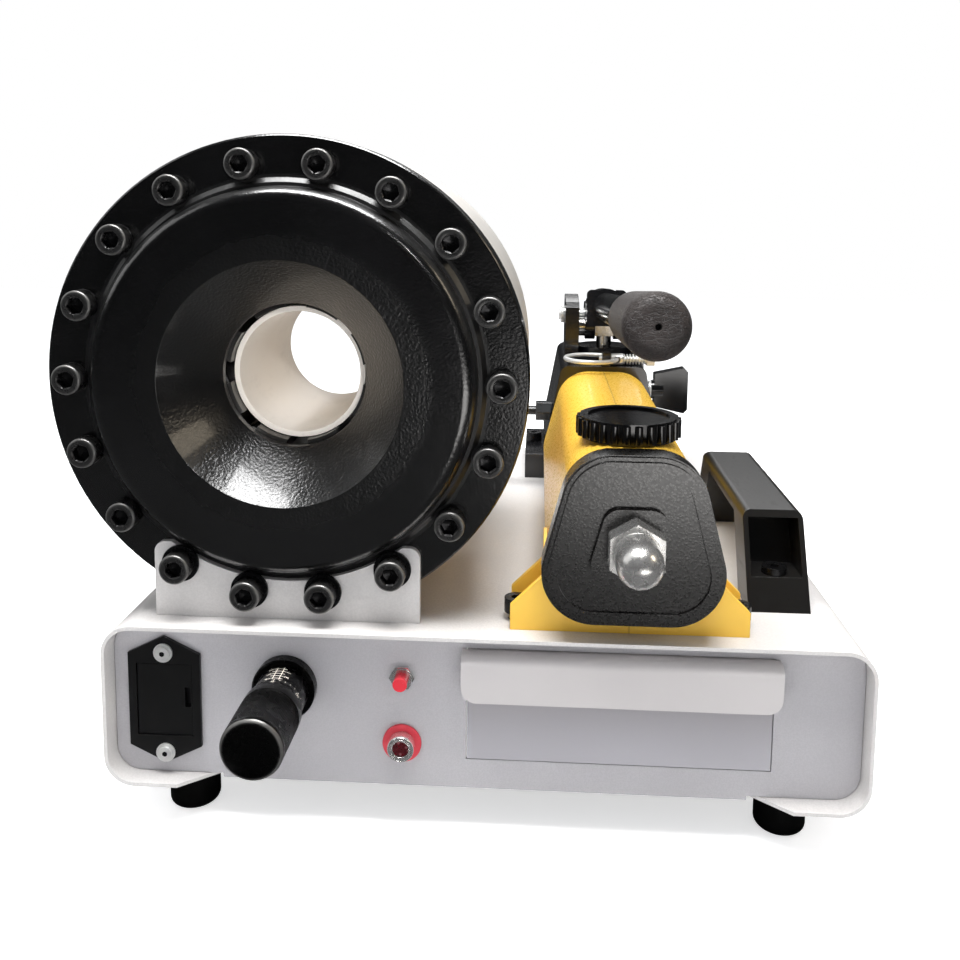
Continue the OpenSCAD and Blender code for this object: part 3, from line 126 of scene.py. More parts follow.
class Finish(Tree):
    """A material being built: one Principled shader and what feeds it."""

    def __init__(self, name):
        self.material = bpy.data.materials.new(name + "_finish")
        self.material.use_nodes = True
        super().__init__(self.material.node_tree)
        self.shader = self.nodes.nodes["Principled BSDF"]
        self.place = self.node("ShaderNodeTexCoord", output="Object")

    def feed(self, **values):
        """Sets the shader's own sockets; an underscore stands for a space."""
        for name, value in values.items():
            socket = self.shader.inputs[name.replace("_", " ")]
            if isinstance(value, Value):
                self.nodes.links.new(value.socket, socket)
            else:
                socket.default_value = value

    def along(self, axis):
        """Where the surface lies along X, Y or Z."""
        return self.node("ShaderNodeSeparateXYZ", {0: self.place}, output=axis)

    def noise(self, size, detail=2.0, roughness=0.5, stretch=(1, 1, 1), distortion=0.0):
        """Noise whose features are about size metres across."""
        where = self.vector("MULTIPLY", self.place, stretch)
        return self.node("ShaderNodeTexNoise", {
            "Vector": where, "Scale": 1 / size, "Detail": detail, "Roughness": roughness,
            "Distortion": distortion})

    def cells(self, size, feature="F1"):
        """Distance to the middle of the nearest cell, for cells about size metres across."""
        return self.node("ShaderNodeTexVoronoi", {"Vector": self.place, "Scale": 1 / size},
                         feature=feature)

    def bump(self, height, depth, strength, onto=None):
        inputs = {"Height": height, "Distance": depth, "Strength": strength}
        if onto is not None:
            inputs["Normal"] = onto
        return self.node("ShaderNodeBump", inputs)

    def radius_from(self, centre, axis):
        """Distance from a line through centre along axis (0, 1 or 2)."""
        away = self.vector("SUBTRACT", self.place, tuple(centre))
        flat = [1, 1, 1]
        flat[axis] = 0
        return self.node("ShaderNodeVectorMath", {0: self.vector("MULTIPLY", away, tuple(flat))},
                         output="Value", operation="LENGTH")


def ease(value, low, high):
    """Smooth step from 0 at low to 1 at high."""
    tree = value.tree
    return tree.node("ShaderNodeMapRange", {"Value": value, "From Min": low, "From Max": high},
                     interpolation_type="SMOOTHSTEP")


# ---------------------------------------------------------------- finishes


def powder_coat(name, colour, roughness, grain, depth, tone):
    """Powder coat on sheet: fine orange peel, faint tone changes, a few rubbed spots."""
    f = Finish(name)
    cloud = f.noise(0.07, 3)
    speck = f.noise(grain, 2, 0.6)
    worn = f.noise(0.018, 4, 0.6)
    base = f.blend(ease(cloud, 0.3, 0.7), rgb(colour, 1 - tone), rgb(colour, 1 + tone))
    base = f.blend(ease(speck, 0.35, 0.65) * 0.5, base, rgb(colour, 0.86))
    f.feed(Base_Color=base, Roughness=ease(worn, 0.3, 0.75) * 0.14 + (roughness - 0.07),
           Specular_IOR_Level=0.45,
           Normal=f.bump(speck + f.noise(grain * 3.5, 1) * 0.8, depth, 0.5))
    return f.material


def lipped_coat(name, lip, lip_shadow, low_shade, lip_z, foot_z, roughness):
    """Powder coat on the drawer front: its own pale colour on the folded lip, and below it a
    painted shadow of the lip, darkest just under the lip and lighter and cooler towards the bottom.
    """
    f = Finish(name)
    level = f.along("Z")
    speck = f.noise(0.0009, 2, 0.6)
    # Painted shade: the face below the lip is darkened as if in the lip's shadow, fading towards
    # the bottom
    front = f.blend(ease(level, lip_z, foot_z), rgb(lip_shadow), rgb(low_shade))
    base = f.blend(ease(level, lip_z, lip_z + 0.0006), front, rgb(lip))
    base = f.blend(ease(f.noise(0.06, 3), 0.35, 0.7) * 0.12, base, rgb(lip_shadow))
    worn = ease(f.noise(0.018, 4), 0.3, 0.75)
    f.feed(Base_Color=base, Roughness=worn * 0.14 + (roughness - 0.07), Specular_IOR_Level=0.45,
           Normal=f.bump(speck + f.noise(0.003, 1) * 0.8, 0.00002, 0.5))
    return f.material


def sheet_steel(name, colour, roughness):
    """Zinc-coated sheet with soft spangle and a rolled grain."""
    f = Finish(name)
    spangle = f.cells(0.006)
    rolled = f.noise(0.0012, 2, 0.5, stretch=(1, 0.03, 1))
    base = f.blend(ease(spangle, 0.1, 0.8), rgb(colour, 0.86), rgb(colour, 1.08))
    f.feed(Base_Color=base, Metallic=0.85,
           Roughness=rolled * 0.16 + (roughness - 0.06) + ease(spangle, 0.1, 0.8) * 0.06,
           Normal=f.bump(rolled, 0.00001, 0.4))
    return f.material


def enamel(name, colour, roughness, peel, depth, coat, lift=1.3, metallic=0.0):
    """Thick sprayed enamel with orange peel and the odd dust nib."""
    f = Finish(name)
    peel_a = f.noise(peel, 1.5, 0.4)
    peel_b = f.noise(peel * 2.6, 1, 0.4)
    nibs = ease(f.cells(0.013), 0.055, 0.0)
    cloud = f.noise(0.04, 3)
    base = f.blend(ease(cloud, 0.35, 0.7), rgb(colour, 1 / lift), rgb(colour, lift))
    f.feed(Base_Color=base, Metallic=metallic,
           Roughness=ease(f.noise(0.011, 3), 0.35, 0.8) * 0.07 + roughness,
           Coat_Weight=coat, Coat_Roughness=0.06,
           Normal=f.bump(peel_a + peel_b * 0.7 + nibs * 0.25, depth, 0.8))
    return f.material


def moulded(name, colour, roughness, grain, depth=0.00003, specular=0.5, bloom=0.25,
            clearcoat=0.0, seam_side=None, scuffs=0.25):
    """Moulded plastic or rubber with a fine eroded grain, scuffs and perhaps a mould seam."""
    f = Finish(name)
    fine = f.noise(grain, 3, 0.65)
    scuff = ease(f.noise(0.009, 5, 0.7, stretch=(1, 0.35, 1)), 0.52, 0.72)
    cloud = f.noise(0.05, 2)
    base = f.blend(ease(cloud, 0.3, 0.7), rgb(colour, 1 - bloom / 2), rgb(colour, 1 + bloom / 2))
    base = f.blend(scuff * scuffs, base, rgb([c * 0.7 + SCUFF_LIFT for c in colour], 1 + bloom))
    normal = f.bump(fine, depth, 0.6)
    if seam_side is not None:
        away = f.math("ABSOLUTE", f.along("X") - seam_side)
        seam = ease(away, 0.0007, 0.0002)
        base = f.blend(seam * 0.5, base, rgb(colour, 0.5))
        normal = f.bump(seam, 0.0002, 0.8, normal)
    f.feed(Base_Color=base, Roughness=scuff * scuffs * 0.4 + fine * 0.12 + (roughness - 0.06),
           Specular_IOR_Level=specular, Coat_Weight=clearcoat, Coat_Roughness=0.12,
           Normal=normal)
    return f.material


def leather_grain(name, colour, roughness, grain, depth):
    """Black nylon moulded with a leather-like grain of small rounded cells."""
    f = Finish(name)
    cell = f.cells(grain, "SMOOTH_F1")
    fine = f.noise(grain * 0.4, 3, 0.6)
    cloud = f.noise(0.03, 2)
    base = f.blend(ease(cloud, 0.3, 0.7), rgb(colour, 0.8), rgb(colour, 1.25))
    f.feed(Base_Color=base, Roughness=ease(cell, 0.1, 0.7) * 0.1 + (roughness - 0.03),
           Specular_IOR_Level=0.85, Coat_Weight=0.4, Coat_Roughness=0.2,
           Normal=f.bump(1 - cell + fine * 0.25, depth, 0.8))
    return f.material


def pebbled_enamel(name, colour, centre, axis, step_r, cone_r):
    """Black gloss sprayed thick over a casting: pebbly in the cone, smoother round it."""
    f = Finish(name)
    in_cone = ease(f.radius_from(centre, axis), cone_r + 0.004, cone_r - 0.004)
    pebbles = f.noise(0.0015, 1.5, 0.45)
    swell = f.noise(0.006, 1, 0.4)
    nibs = ease(f.cells(0.011), 0.05, 0.0)
    dust = ease(f.math("ABSOLUTE", f.radius_from(centre, axis) - step_r), 0.0055, 0.002)
    cloud = f.noise(0.05, 3)
    base = f.blend(ease(cloud, 0.35, 0.7), rgb(colour, 0.75), rgb(colour, 1.3))
    base = f.blend(dust * f.noise(0.004, 3) * 0.5, base, (0.03, 0.03, 0.03, 1))
    dull = ease(f.noise(0.011, 3), 0.35, 0.8) * 0.05
    f.feed(Base_Color=base, Roughness=dull + dust * 0.2 + in_cone * 0.085 + 0.2,
           Specular_IOR_Level=0.8, Coat_Weight=0.4 - dust * 0.35, Coat_Roughness=0.1,
           Normal=f.bump((pebbles + swell * 0.2 + nibs * 0.2) * (in_cone * 0.65 + 0.3),
                         0.00036, 0.9))
    return f.material


def turned_steel(name, colour, centre, axis, roughness, pitch, oil):
    """Lathe-turned steel: fine rings about its own axis and a little tarnish."""
    f = Finish(name)
    radius = f.radius_from(centre, axis)
    rings = f.math("SINE", radius * (TURN / pitch)) * 0.5 + 0.5
    broken = f.noise(0.004, 2)
    tarnish = ease(f.noise(0.02, 4, 0.6), 0.4, 0.75)
    browned = [colour[0], colour[1] * 0.96, colour[2] * 0.9]
    base = f.blend(tarnish, rgb(colour, 1.06), rgb(browned, 0.8))
    f.feed(Base_Color=base, Metallic=1.0,
           Roughness=rings * broken * 0.14 + tarnish * 0.08 + roughness,
           Coat_Weight=oil, Coat_Roughness=0.1,
           Normal=f.bump(rings * broken, 0.000012, 0.6))
    return f.material


def plated(name, colour, roughness, smear, metal, hairs):
    """Chrome or zinc plate with finger smears and hairline scratches."""
    f = Finish(name)
    smudge = ease(f.noise(0.006, 4, 0.6), 0.42, 0.75)
    hair = ease(f.noise(0.0006, 2, 0.5, stretch=(1, 1, 0.04)), 0.6, 0.72)
    base = f.blend(smudge * 0.6, rgb(colour), rgb(colour, 0.82))
    f.feed(Base_Color=base, Metallic=metal, Roughness=smudge * smear + hair * hairs + roughness,
           Normal=f.bump(hair, 0.00004 * hairs, 0.4))
    return f.material


def black_oxide(name, colour, bare):
    """Oil-blackened screw steel: near black, bare where handled and, by bare, at random."""
    f = Finish(name)
    rub = ease(f.noise(0.0022, 4, 0.65), 0.6, 0.74)
    handled = f.node("ShaderNodeAttribute", output="Fac", attribute_name="rubbed")
    base = f.blend(rub * bare, rgb(colour), (0.09, 0.088, 0.085, 1))
    base = f.blend(handled * (0.75 + rub * 0.25), base, (0.30, 0.295, 0.285, 1))
    f.feed(Base_Color=base, Metallic=0.75,
           Roughness=ease(f.noise(0.004, 3), 0.3, 0.7) * 0.12 + handled * 0.12 + 0.22,
           Specular_IOR_Level=0.5, Normal=f.bump(f.noise(0.0005, 2), 0.000008, 0.5))
    return f.material


def foam_rubber(name, colour):
    """Closed-cell foam: wrinkles across the grip with painted shade in their creases, open pores, a
    dry sheen.
    """
    f = Finish(name)
    wrinkle = f.noise(0.0021, 3, 0.55, stretch=(0.5, 1.0, 1.25), distortion=0.5)
    crease_and_shade = ease(f.math("ABSOLUTE", wrinkle - 0.5), 0.06, 0.0)
    pores = ease(f.cells(0.0011), 0.32, 0.06)
    skin = f.noise(0.014, 3, 0.6)
    base = f.blend(ease(skin, 0.3, 0.7), rgb(colour, 0.78), rgb(colour, 1.3))
    # Painted shade: the creases between the wrinkles are darkened in the colour
    base = f.blend(crease_and_shade * 0.6, base, rgb(colour, 0.4))
    f.feed(Base_Color=base, Roughness=pores * 0.12 + 0.5,
           Specular_IOR_Level=0.5, Sheen_Weight=0.05, Sheen_Roughness=0.4,
           Normal=f.bump(wrinkle * 1.2 - crease_and_shade * 0.5 - pores * 0.12, 0.0006, 0.8))
    return f.material


def red_lens(name, colour):
    """Dark red moulded lens with facets inside, given a painted glow: faintly red all over and a
    painted glint at the middle of each facet.
    """
    f = Finish(name)
    mottle = f.noise(0.0022, 2)
    facets = f.cells(0.0032, "F1")
    # Painted light: the emission makes the lens glow faintly, brightest as a glint in each facet
    painted_glint, painted_glow = (1.0, 0.35, 0.4, 1), (0.16, 0.003, 0.009, 1)
    f.feed(Base_Color=f.blend(ease(mottle, 0.3, 0.7), rgb(colour, 0.7), rgb(colour, 1.5)),
           Emission_Color=f.blend(ease(facets, 0.05, 0.35), painted_glint, painted_glow),
           Emission_Strength=0.13,
           Roughness=mottle * 0.05 + 0.06, Coat_Weight=0.8, Coat_Roughness=0.03,
           Normal=f.bump(facets, 0.0012, 0.7))
    return f.material


def middle_of(node):
    return [(a + b) / 2 for a, b in zip(*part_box(node))]


head = middle_of("front_flange")
pump = middle_of("pump_saddle")
drawer_low, drawer_high = (corner[2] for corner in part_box("drawer_front"))
# Radius of the flange's step and of the funnel's mouth, and how far the drawer's lip hangs down
BOSS_STEP_R, CONE_R, LIP_DROP = 0.1035, 0.0765, 0.0255

FINISHES = {
    "light_grey_paint": powder_coat("light_grey_paint", (0.68, 0.66, 0.645), roughness=0.42,
                                    grain=0.0011, depth=0.00002, tone=0.06),
    "panel_paint": powder_coat("panel_paint", (0.49, 0.478, 0.495), roughness=0.4,
                               grain=0.0008, depth=0.000025, tone=0.05),
    "bright_sheet": sheet_steel("bright_sheet", (0.62, 0.62, 0.60), roughness=0.36),
    # The drawer's colours below the lip are painted shade from the lip, not a different paint
    "drawer_paint": lipped_coat("drawer_paint", lip=(0.57, 0.545, 0.54),
                                lip_shadow=(0.36, 0.345, 0.36), low_shade=(0.46, 0.45, 0.48),
                                lip_z=drawer_high - LIP_DROP, foot_z=drawer_low,
                                roughness=0.38),
    "foot_rubber": moulded("foot_rubber", (0.002, 0.002, 0.002), roughness=0.55, grain=0.0012,
                           specular=0.2),
    "handle_plastic": moulded("handle_plastic", (0.008, 0.0075, 0.007), roughness=0.3,
                              grain=0.0007, depth=0.00002),
    "black_oxide": black_oxide("black_oxide", (0.016, 0.016, 0.017), bare=0.3),
    "zinc_steel": plated("zinc_steel", (0.84, 0.84, 0.82), roughness=0.28, smear=0.08,
                         metal=0.55, hairs=0.0),
    "black_gloss_paint": pebbled_enamel("black_gloss_paint", (0.0028, 0.0028, 0.003), head, 1,
                                        BOSS_STEP_R, CONE_R),
    "housing_silver": enamel("housing_silver", (0.78, 0.75, 0.70), roughness=0.3, peel=0.0022,
                             depth=0.00003, coat=0.15, lift=1.04, metallic=0.25),
    "machined_steel": turned_steel("machined_steel", (0.55, 0.54, 0.52), head, 1,
                                   roughness=0.2, pitch=0.0005, oil=0.0),
    "die_steel": turned_steel("die_steel", (0.12, 0.118, 0.115), head, 1,
                              roughness=0.36, pitch=0.0007, oil=0.2),
    "liner_cream": moulded("liner_cream", (0.95, 0.88, 0.79), roughness=0.34, grain=0.002,
                           depth=0.00001, bloom=0.04),
    "pipe_steel": enamel("pipe_steel", (0.02, 0.022, 0.024), roughness=0.2, peel=0.002,
                         depth=0.00002, coat=0.3),
    "tank_yellow": moulded("tank_yellow", (0.93, 0.565, 0.07), roughness=0.28, grain=0.0014,
                           depth=0.000012, specular=0.3, bloom=0.03, seam_side=pump[0],
                           scuffs=0.0),
    "saddle_yellow": moulded("saddle_yellow", (0.98, 0.60, 0.075), roughness=0.36,
                             grain=0.0012, depth=0.000015, bloom=0.04, seam_side=pump[0],
                             scuffs=0.05),
    "cap_black": leather_grain("cap_black", (0.0045, 0.0035, 0.0033), roughness=0.27,
                               grain=0.0013, depth=0.00007),
    "block_black": enamel("block_black", (0.008, 0.008, 0.009), roughness=0.2, peel=0.0026,
                          depth=0.00006, coat=0.35),
    "tube_black": enamel("tube_black", (0.007, 0.0075, 0.0075), roughness=0.16, peel=0.003,
                         depth=0.00003, coat=0.5),
    "foam_brown": foam_rubber("foam_brown", (0.030, 0.023, 0.021)),
    "nut_chrome": plated("nut_chrome", (0.82, 0.81, 0.79), roughness=0.24, smear=0.14,
                         metal=0.88, hairs=0.0),
    "knob_black": moulded("knob_black", (0.004, 0.004, 0.0045), roughness=0.16, grain=0.0012,
                          depth=0.000004, clearcoat=0.1, scuffs=0.05),
    "box_plastic": moulded("box_plastic", (0.005, 0.005, 0.0055), roughness=0.4,
                           grain=0.0007, depth=0.00002),
    "dial_black": black_oxide("dial_black", (0.002, 0.002, 0.0022), bare=0.0),
    "fitting_chrome": plated("fitting_chrome", (0.86, 0.86, 0.85), roughness=0.14, smear=0.1,
                             metal=0.86, hairs=0.1),
    "button_red": moulded("button_red", (0.74, 0.03, 0.05), roughness=0.2, grain=0.003,
                          depth=0.000004, bloom=0.05, clearcoat=0.4),
    "gasket_red": moulded("gasket_red", (0.74, 0.05, 0.075), roughness=0.4, grain=0.001,
                          depth=0.00001, specular=0.4, bloom=0.1),
    "lens_red": red_lens("lens_red", (0.05, 0.003, 0.006)),
}

# ---------------------------------------------------------------- pieces from the CAD nodes


def body_of(node):
    return frame["nodes"][node]["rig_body"]


def keep_piece(piece, body, slot, *nodes):
    """Gives a piece its finish and its body, and hides the CAD nodes that it stands for."""
    piece.data.materials.clear()
    piece.data.materials.append(FINISHES[slot])
    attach(piece, body)
    if nodes:
        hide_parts(*nodes)
    return piece


def plain_mesh(piece):
    """Applies what a piece's modifiers make and leaves it as one plain mesh."""
    bpy.context.view_layer.update()
    graph = bpy.context.evaluated_depsgraph_get()
    mesh = bpy.data.meshes.new_from_object(piece.evaluated_get(graph), depsgraph=graph)
    piece.modifiers.clear()
    piece.data = mesh
    mesh.name = piece.name
    return piece


def link(name, data):
    """A new object of that name in the scene, holding a mesh, a lamp or a camera."""
    piece = bpy.data.objects.new(name, data)
    bpy.context.scene.collection.objects.link(piece)
    return piece


def eased_copy(node, name, width):
    """A joined copy of a CAD node with its sharp edges broken by width metres."""
    mesh = frame["nodes"][node].data.copy()
    bm = bmesh.new()
    bm.from_mesh(mesh)
    bmesh.ops.remove_doubles(bm, verts=bm.verts, dist=1e-6)
    if node not in RINGED:
        bmesh.ops.dissolve_limit(bm, angle_limit=math.radians(FLAT_ANGLE), verts=bm.verts,
                                 edges=bm.edges)
    for face in bm.faces:
        face.smooth = True
    bm.to_mesh(mesh)
    bm.free()
    piece = link(name, mesh)
    bevel = piece.modifiers.new("eased edges", "BEVEL")
    bevel.width, bevel.segments = width, 2
    bevel.limit_method, bevel.angle_limit = "ANGLE", math.radians(SHARP_ANGLE)
    bevel.use_clamp_overlap = True
    weigh = piece.modifiers.new("flat faces stay flat", "WEIGHTED_NORMAL")
    weigh.mode, weigh.weight = "FACE_AREA", 50
    plain_mesh(piece)
    return keep_piece(piece, body_of(node), SLOT[node], node)


# Faces closer than the first angle in degrees are one, edges over the second are broken
FLAT_ANGLE, SHARP_ANGLE = 0.6, 28
# Pieces with flat rings, whose faces are left as they come
RINGED = ("tank_end_cap", "lamp_bezel", "battery_box")
# How far each piece's edges are broken, in millimetres
EDGES = {
    "base_shell": 0.5, "front_panel": 0.5, "rear_panel": 0.5, "drawer_rails": 0.3,
    "drawer_box": 0.3, "drawer_front": 0.4, "rubber_feet": 0.8, "carry_handle": 1.2,
    "head_bracket": 0.5, "rear_bracket": 0.5, "front_flange": 0.9, "cylinder_housing": 0.8,
    "rear_cover": 0.9, "piston": 0.4, "liner_sleeve": 0.35, "pressure_pipe": 0.1,
    "pipe_nuts": 0.4, "pump_tank": 0.8, "pump_saddle": 0.8, "tank_end_cap": 1.0,
    "acorn_nut": 0.4, "filler_cap": 0.7, "pump_block": 1.0, "rear_foot": 0.8,
    "plunger_neck": 0.5, "plunger": 0.3, "lever_bracket": 0.5, "pivot_bolt": 0.4,
    "lever_socket": 0.6, "handle_tube": 0.4, "handle_grip": 1.0, "release_stem": 0.3,
    "release_knob": 0.6, "lock_pin": 0.3, "lock_ring": 0.1, "battery_box": 0.5,
    "battery_tray": 0.3, "battery_screws": 0.2, "dial_barrel": 0.25,
    "button_nut": 0.3, "button_cap": 0.5, "lamp_gasket": 0.25, "lamp_bezel": 0.3,
    "lamp_lens": 0.4, "foot_screws": 0.3, "carry_screws": 0.3, "pump_screws": 0.3,
    **{f"master_die_{n}": 0.3 for n in range(1, 9)},
}
for node, width in EDGES.items():
    eased_copy(node, node + "_body", width * MM)

# ---------------------------------------------------------------- socket screws


def islands(node):
    """The corners of every separate solid in a CAD node, the solids always in one order."""
    bm = bmesh.new()
    bm.from_mesh(frame["nodes"][node].data)
    bmesh.ops.remove_doubles(bm, verts=bm.verts, dist=1e-6)
    left, found = set(bm.verts), []
    while left:
        group, queue = [], [left.pop()]
        while queue:
            vert = queue.pop()
            group.append(vert.co.copy())
            for edge in vert.link_edges:
                other = edge.other_vert(vert)
                if other in left:
                    left.remove(other)
                    queue.append(other)
        found.append(group)
    bm.free()
    return sorted(found, key=lambda group: min(tuple(corner) for corner in group))


def geometry_tree(name, sizes):
    """A geometry tree with a mesh input and the named sizes as inputs."""
    nodes = bpy.data.node_groups.new(name, "GeometryNodeTree")
    face = nodes.interface
    face.new_socket("Geometry", in_out="INPUT", socket_type="NodeSocketGeometry")
    for label, kind, default in sizes:
        socket = face.new_socket(label, in_out="INPUT", socket_type="NodeSocket" + kind)
        if default is not None:
            socket.default_value = default
    face.new_socket("Geometry", in_out="OUTPUT", socket_type="NodeSocketGeometry")
    tree = Tree(nodes)
    entry = tree.node("NodeGroupInput")
    return tree, {s.name: Value(tree, s) for s in entry.socket.node.outputs if s.name}


def set_inputs(modifier, values):
    """Sets a geometry modifier's inputs by the identifiers of their sockets."""
    for item in modifier.node_group.interface.items_tree:
        if item.in_out == "INPUT" and item.name in values:
            modifier[item.identifier] = values[item.name]


def turned(tree, rows, segments):
    """A surface turned about z from rows of (radius, height, hexagon, knurl depth, rubbed).

    The third is the share of a hexagon, the last how bright handling has rubbed the row.
    The rows run from the middle of the underside, over the outside, to the middle of the top.
    """
    count = len(rows)
    grid = tree.node("GeometryNodeMeshGrid",
                     {"Vertices X": segments + 1, "Vertices Y": count}, output="Mesh")
    index = tree.node("GeometryNodeInputIndex")
    row = index % count
    column = tree.math("FLOOR", index / count)
    angle = column * (TURN / segments)

    def by_row(place):
        switch = tree.nodes.nodes.new("GeometryNodeIndexSwitch")
        switch.data_type = "FLOAT"
        while len(switch.index_switch_items) < count:
            switch.index_switch_items.new()
        tree.nodes.links.new(row.socket, switch.inputs["Index"])
        for n, values in enumerate(rows):
            value = values[place]
            if isinstance(value, Value):
                tree.nodes.links.new(value.socket, switch.inputs[n + 1])
            else:
                switch.inputs[n + 1].default_value = value
        return Value(tree, switch.outputs[0])

    sixth = TURN / 6
    flat = 1 / tree.math("COSINE", angle % sixth - sixth / 2)
    hexed = by_row(2) * (flat - 1) + 1
    groove = (column % 2) * by_row(3)
    radius = by_row(0) * hexed - groove
    place = tree.node("ShaderNodeCombineXYZ", {
        "X": radius * tree.math("COSINE", angle), "Y": radius * tree.math("SINE", angle),
        "Z": by_row(1)})
    moved = tree.node("GeometryNodeSetPosition", {"Geometry": grid, "Position": place})
    rubbed = tree.node("GeometryNodeStoreNamedAttribute", {
        "Geometry": moved, "Name": "rubbed", "Value": by_row(4)}, data_type="FLOAT", domain="POINT")
    return tree.node("GeometryNodeMergeByDistance", {"Geometry": rubbed, "Distance": 2e-6})


def screw_tree():
    """Knurled socket-head cap screws on points, each turned by its own seeded angle."""
    tree, size = geometry_tree("socket_screws", [
        ("Head diameter", "Float", 0.016), ("Head height", "Float", 0.010),
        ("Socket across flats", "Float", 0.008), ("Socket depth", "Float", 0.005),
        ("Shank diameter", "Float", 0.010), ("Shank length", "Float", 0.02),
        ("Rim radius", "Float", 0.0012), ("Knurl depth", "Float", 0.0003),
        ("Washer diameter", "Float", 0.0), ("Washer thickness", "Float", 0.0),
        ("Rotation", "Rotation", None), ("Seed", "Int", 4), ("Material", "Material", None)])
    radius, height = size["Head diameter"] / 2, size["Head height"]
    rim, knurl = size["Rim radius"], size["Knurl depth"]
    flats = size["Socket across flats"] / 2
    shank, depth = size["Shank diameter"] / 2, size["Socket depth"]
    cone = flats * 1.18
    rows = [
        (0.0, -size["Shank length"], 0.0, 0.0, 0.0),
        (shank - 0.0008, -size["Shank length"], 0.0, 0.0, 0.0),
        (shank, 0.0008 - size["Shank length"], 0.0, 0.0, 0.0),
        (shank, 0.0, 0.0, 0.0, 0.0),
        (radius - 0.0005, 0.0, 0.0, 0.0, 0.0),
        (radius, 0.0005, 0.0, 0.0, 0.0),
        (radius, 0.0008, 0.0, knurl, 0.1),
        (radius, height - rim - 0.0002, 0.0, knurl, 0.35),
        (radius, height - rim, 0.0, 0.0, 0.5),
        (radius - rim * 0.08, height - rim * 0.6, 0.0, 0.0, 1.0),
        (radius - rim * 0.3, height - rim * 0.28, 0.0, 0.0, 1.0),
        (radius - rim * 0.62, height - rim * 0.07, 0.0, 0.0, 0.7),
        (radius - rim, height, 0.0, 0.0, 0.25),
        (cone + 0.0002, height, 0.0, 0.0, 0.12),
        (cone, height - 0.0001, 0.0, 0.0, 0.3),
        (flats, height - 0.0007, 1.0, 0.0, 0.0),
        (flats, height - depth, 1.0, 0.0, 0.0),
        (flats * 0.5, height - depth - 0.0004, 0.0, 0.0, 0.0),
        (0.0, height - depth - 0.0012, 0.0, 0.0, 0.0),
    ]
    screw = turned(tree, rows, 144)
    washer_r, thick = size["Washer diameter"] / 2, size["Washer thickness"]
    washer = turned(tree, [(*row, 0.0, 0.0, 0.0) for row in [
        (shank * 1.08, -thick), (washer_r - 0.0003, -thick), (washer_r, 0.0003 - thick),
        (washer_r, -0.0003), (washer_r - 0.0003, 0.0),
        (shank * 1.08, 0.0), (shank * 1.08, -thick)]], 72)
    both = tree.node("GeometryNodeJoinGeometry", {"Geometry": screw})
    tree.nodes.links.new(washer.socket, both.socket.node.inputs["Geometry"])
    with_washer = tree.node("GeometryNodeSwitch", {
        "Switch": thick > 0.0001, "False": screw, "True": both}, input_type="GEOMETRY")
    spin = tree.node("FunctionNodeRandomValue", {"Max": TURN, "Seed": size["Seed"]}, output=1,
                     data_type="FLOAT")
    own_turn = tree.node("ShaderNodeCombineXYZ", {"Z": spin})
    placed = tree.node("GeometryNodeInstanceOnPoints", {
        "Points": size["Geometry"], "Instance": with_washer, "Rotation": size["Rotation"]})
    turned_round = tree.node("GeometryNodeRotateInstances", {
        "Instances": placed, "Rotation": own_turn, "Local Space": True})
    real = tree.node("GeometryNodeRealizeInstances", {"Geometry": turned_round})
    smooth = tree.node("GeometryNodeSetShadeSmooth", {"Geometry": real, "Shade Smooth": True})
    done = tree.node("GeometryNodeSetMaterial", {"Geometry": smooth, "Material": size["Material"]})
    tree.node("NodeGroupOutput", {"Geometry": done})
    return tree.nodes


SCREWS = screw_tree()


def sharpened(piece, degrees):
    """Marks the edges sharper than an angle, so that smooth shading stops there."""
    piece.data.set_sharp_from_angle(angle=math.radians(degrees))
    return piece


def socket_screws(node, name, sign, reach, washer_d=0.0, washer_t=0.0,
                  head_d=16, head_h=10, socket=8, shank_d=9.8, knurl=0.35):
    """Replaces a CAD node's screws by M10 ones along Y, sizes in millimetres, heads to sign."""
    axis, spots = 1, []
    for solid in islands(node):
        low = [min(c[k] for c in solid) for k in range(3)]
        high = [max(c[k] for c in solid) for k in range(3)]
        place = [(a + b) / 2 for a, b in zip(low, high)]
        place[axis] = (high if sign > 0 else low)[axis] - sign * head_h * MM
        aside = [k for k in range(3) if k != axis]
        same = [s for s in spots if all(abs(s[k] - place[k]) < 3 * MM for k in aside)]
        for other in same:
            spots.remove(other)
        spots.append(max(same + [place], key=lambda s: sign * s[axis]))
    mesh = bpy.data.meshes.new(name)
    mesh.from_pydata(spots, [], [])
    piece = link(name, mesh)
    modifier = piece.modifiers.new("screws", "NODES")
    modifier.node_group = SCREWS
    set_inputs(modifier, {
        "Head diameter": head_d * MM, "Head height": head_h * MM,
        "Socket across flats": socket * MM, "Socket depth": head_h * 0.55 * MM,
        "Shank diameter": shank_d * MM, "Shank length": reach * MM,
        "Rim radius": head_h * 0.13 * MM, "Knurl depth": knurl * MM,
        "Washer diameter": washer_d * MM, "Washer thickness": washer_t * MM,
        "Rotation": (-sign * math.pi / 2, 0, 0), "Seed": 4, "Material": FINISHES[SLOT[node]]})
    plain_mesh(piece)
    sharpened(piece, 32)
    return keep_piece(piece, body_of(node), SLOT[node], node)


socket_screws("flange_bolts", "flange_screws", -1, reach=20)
socket_screws("bracket_bolts", "bracket_screws", -1, reach=18, washer_d=20, washer_t=2)
socket_screws("rear_bolts", "rear_screws", 1, reach=20)

# ---------------------------------------------------------------- painted shade in the sockets of the small screws


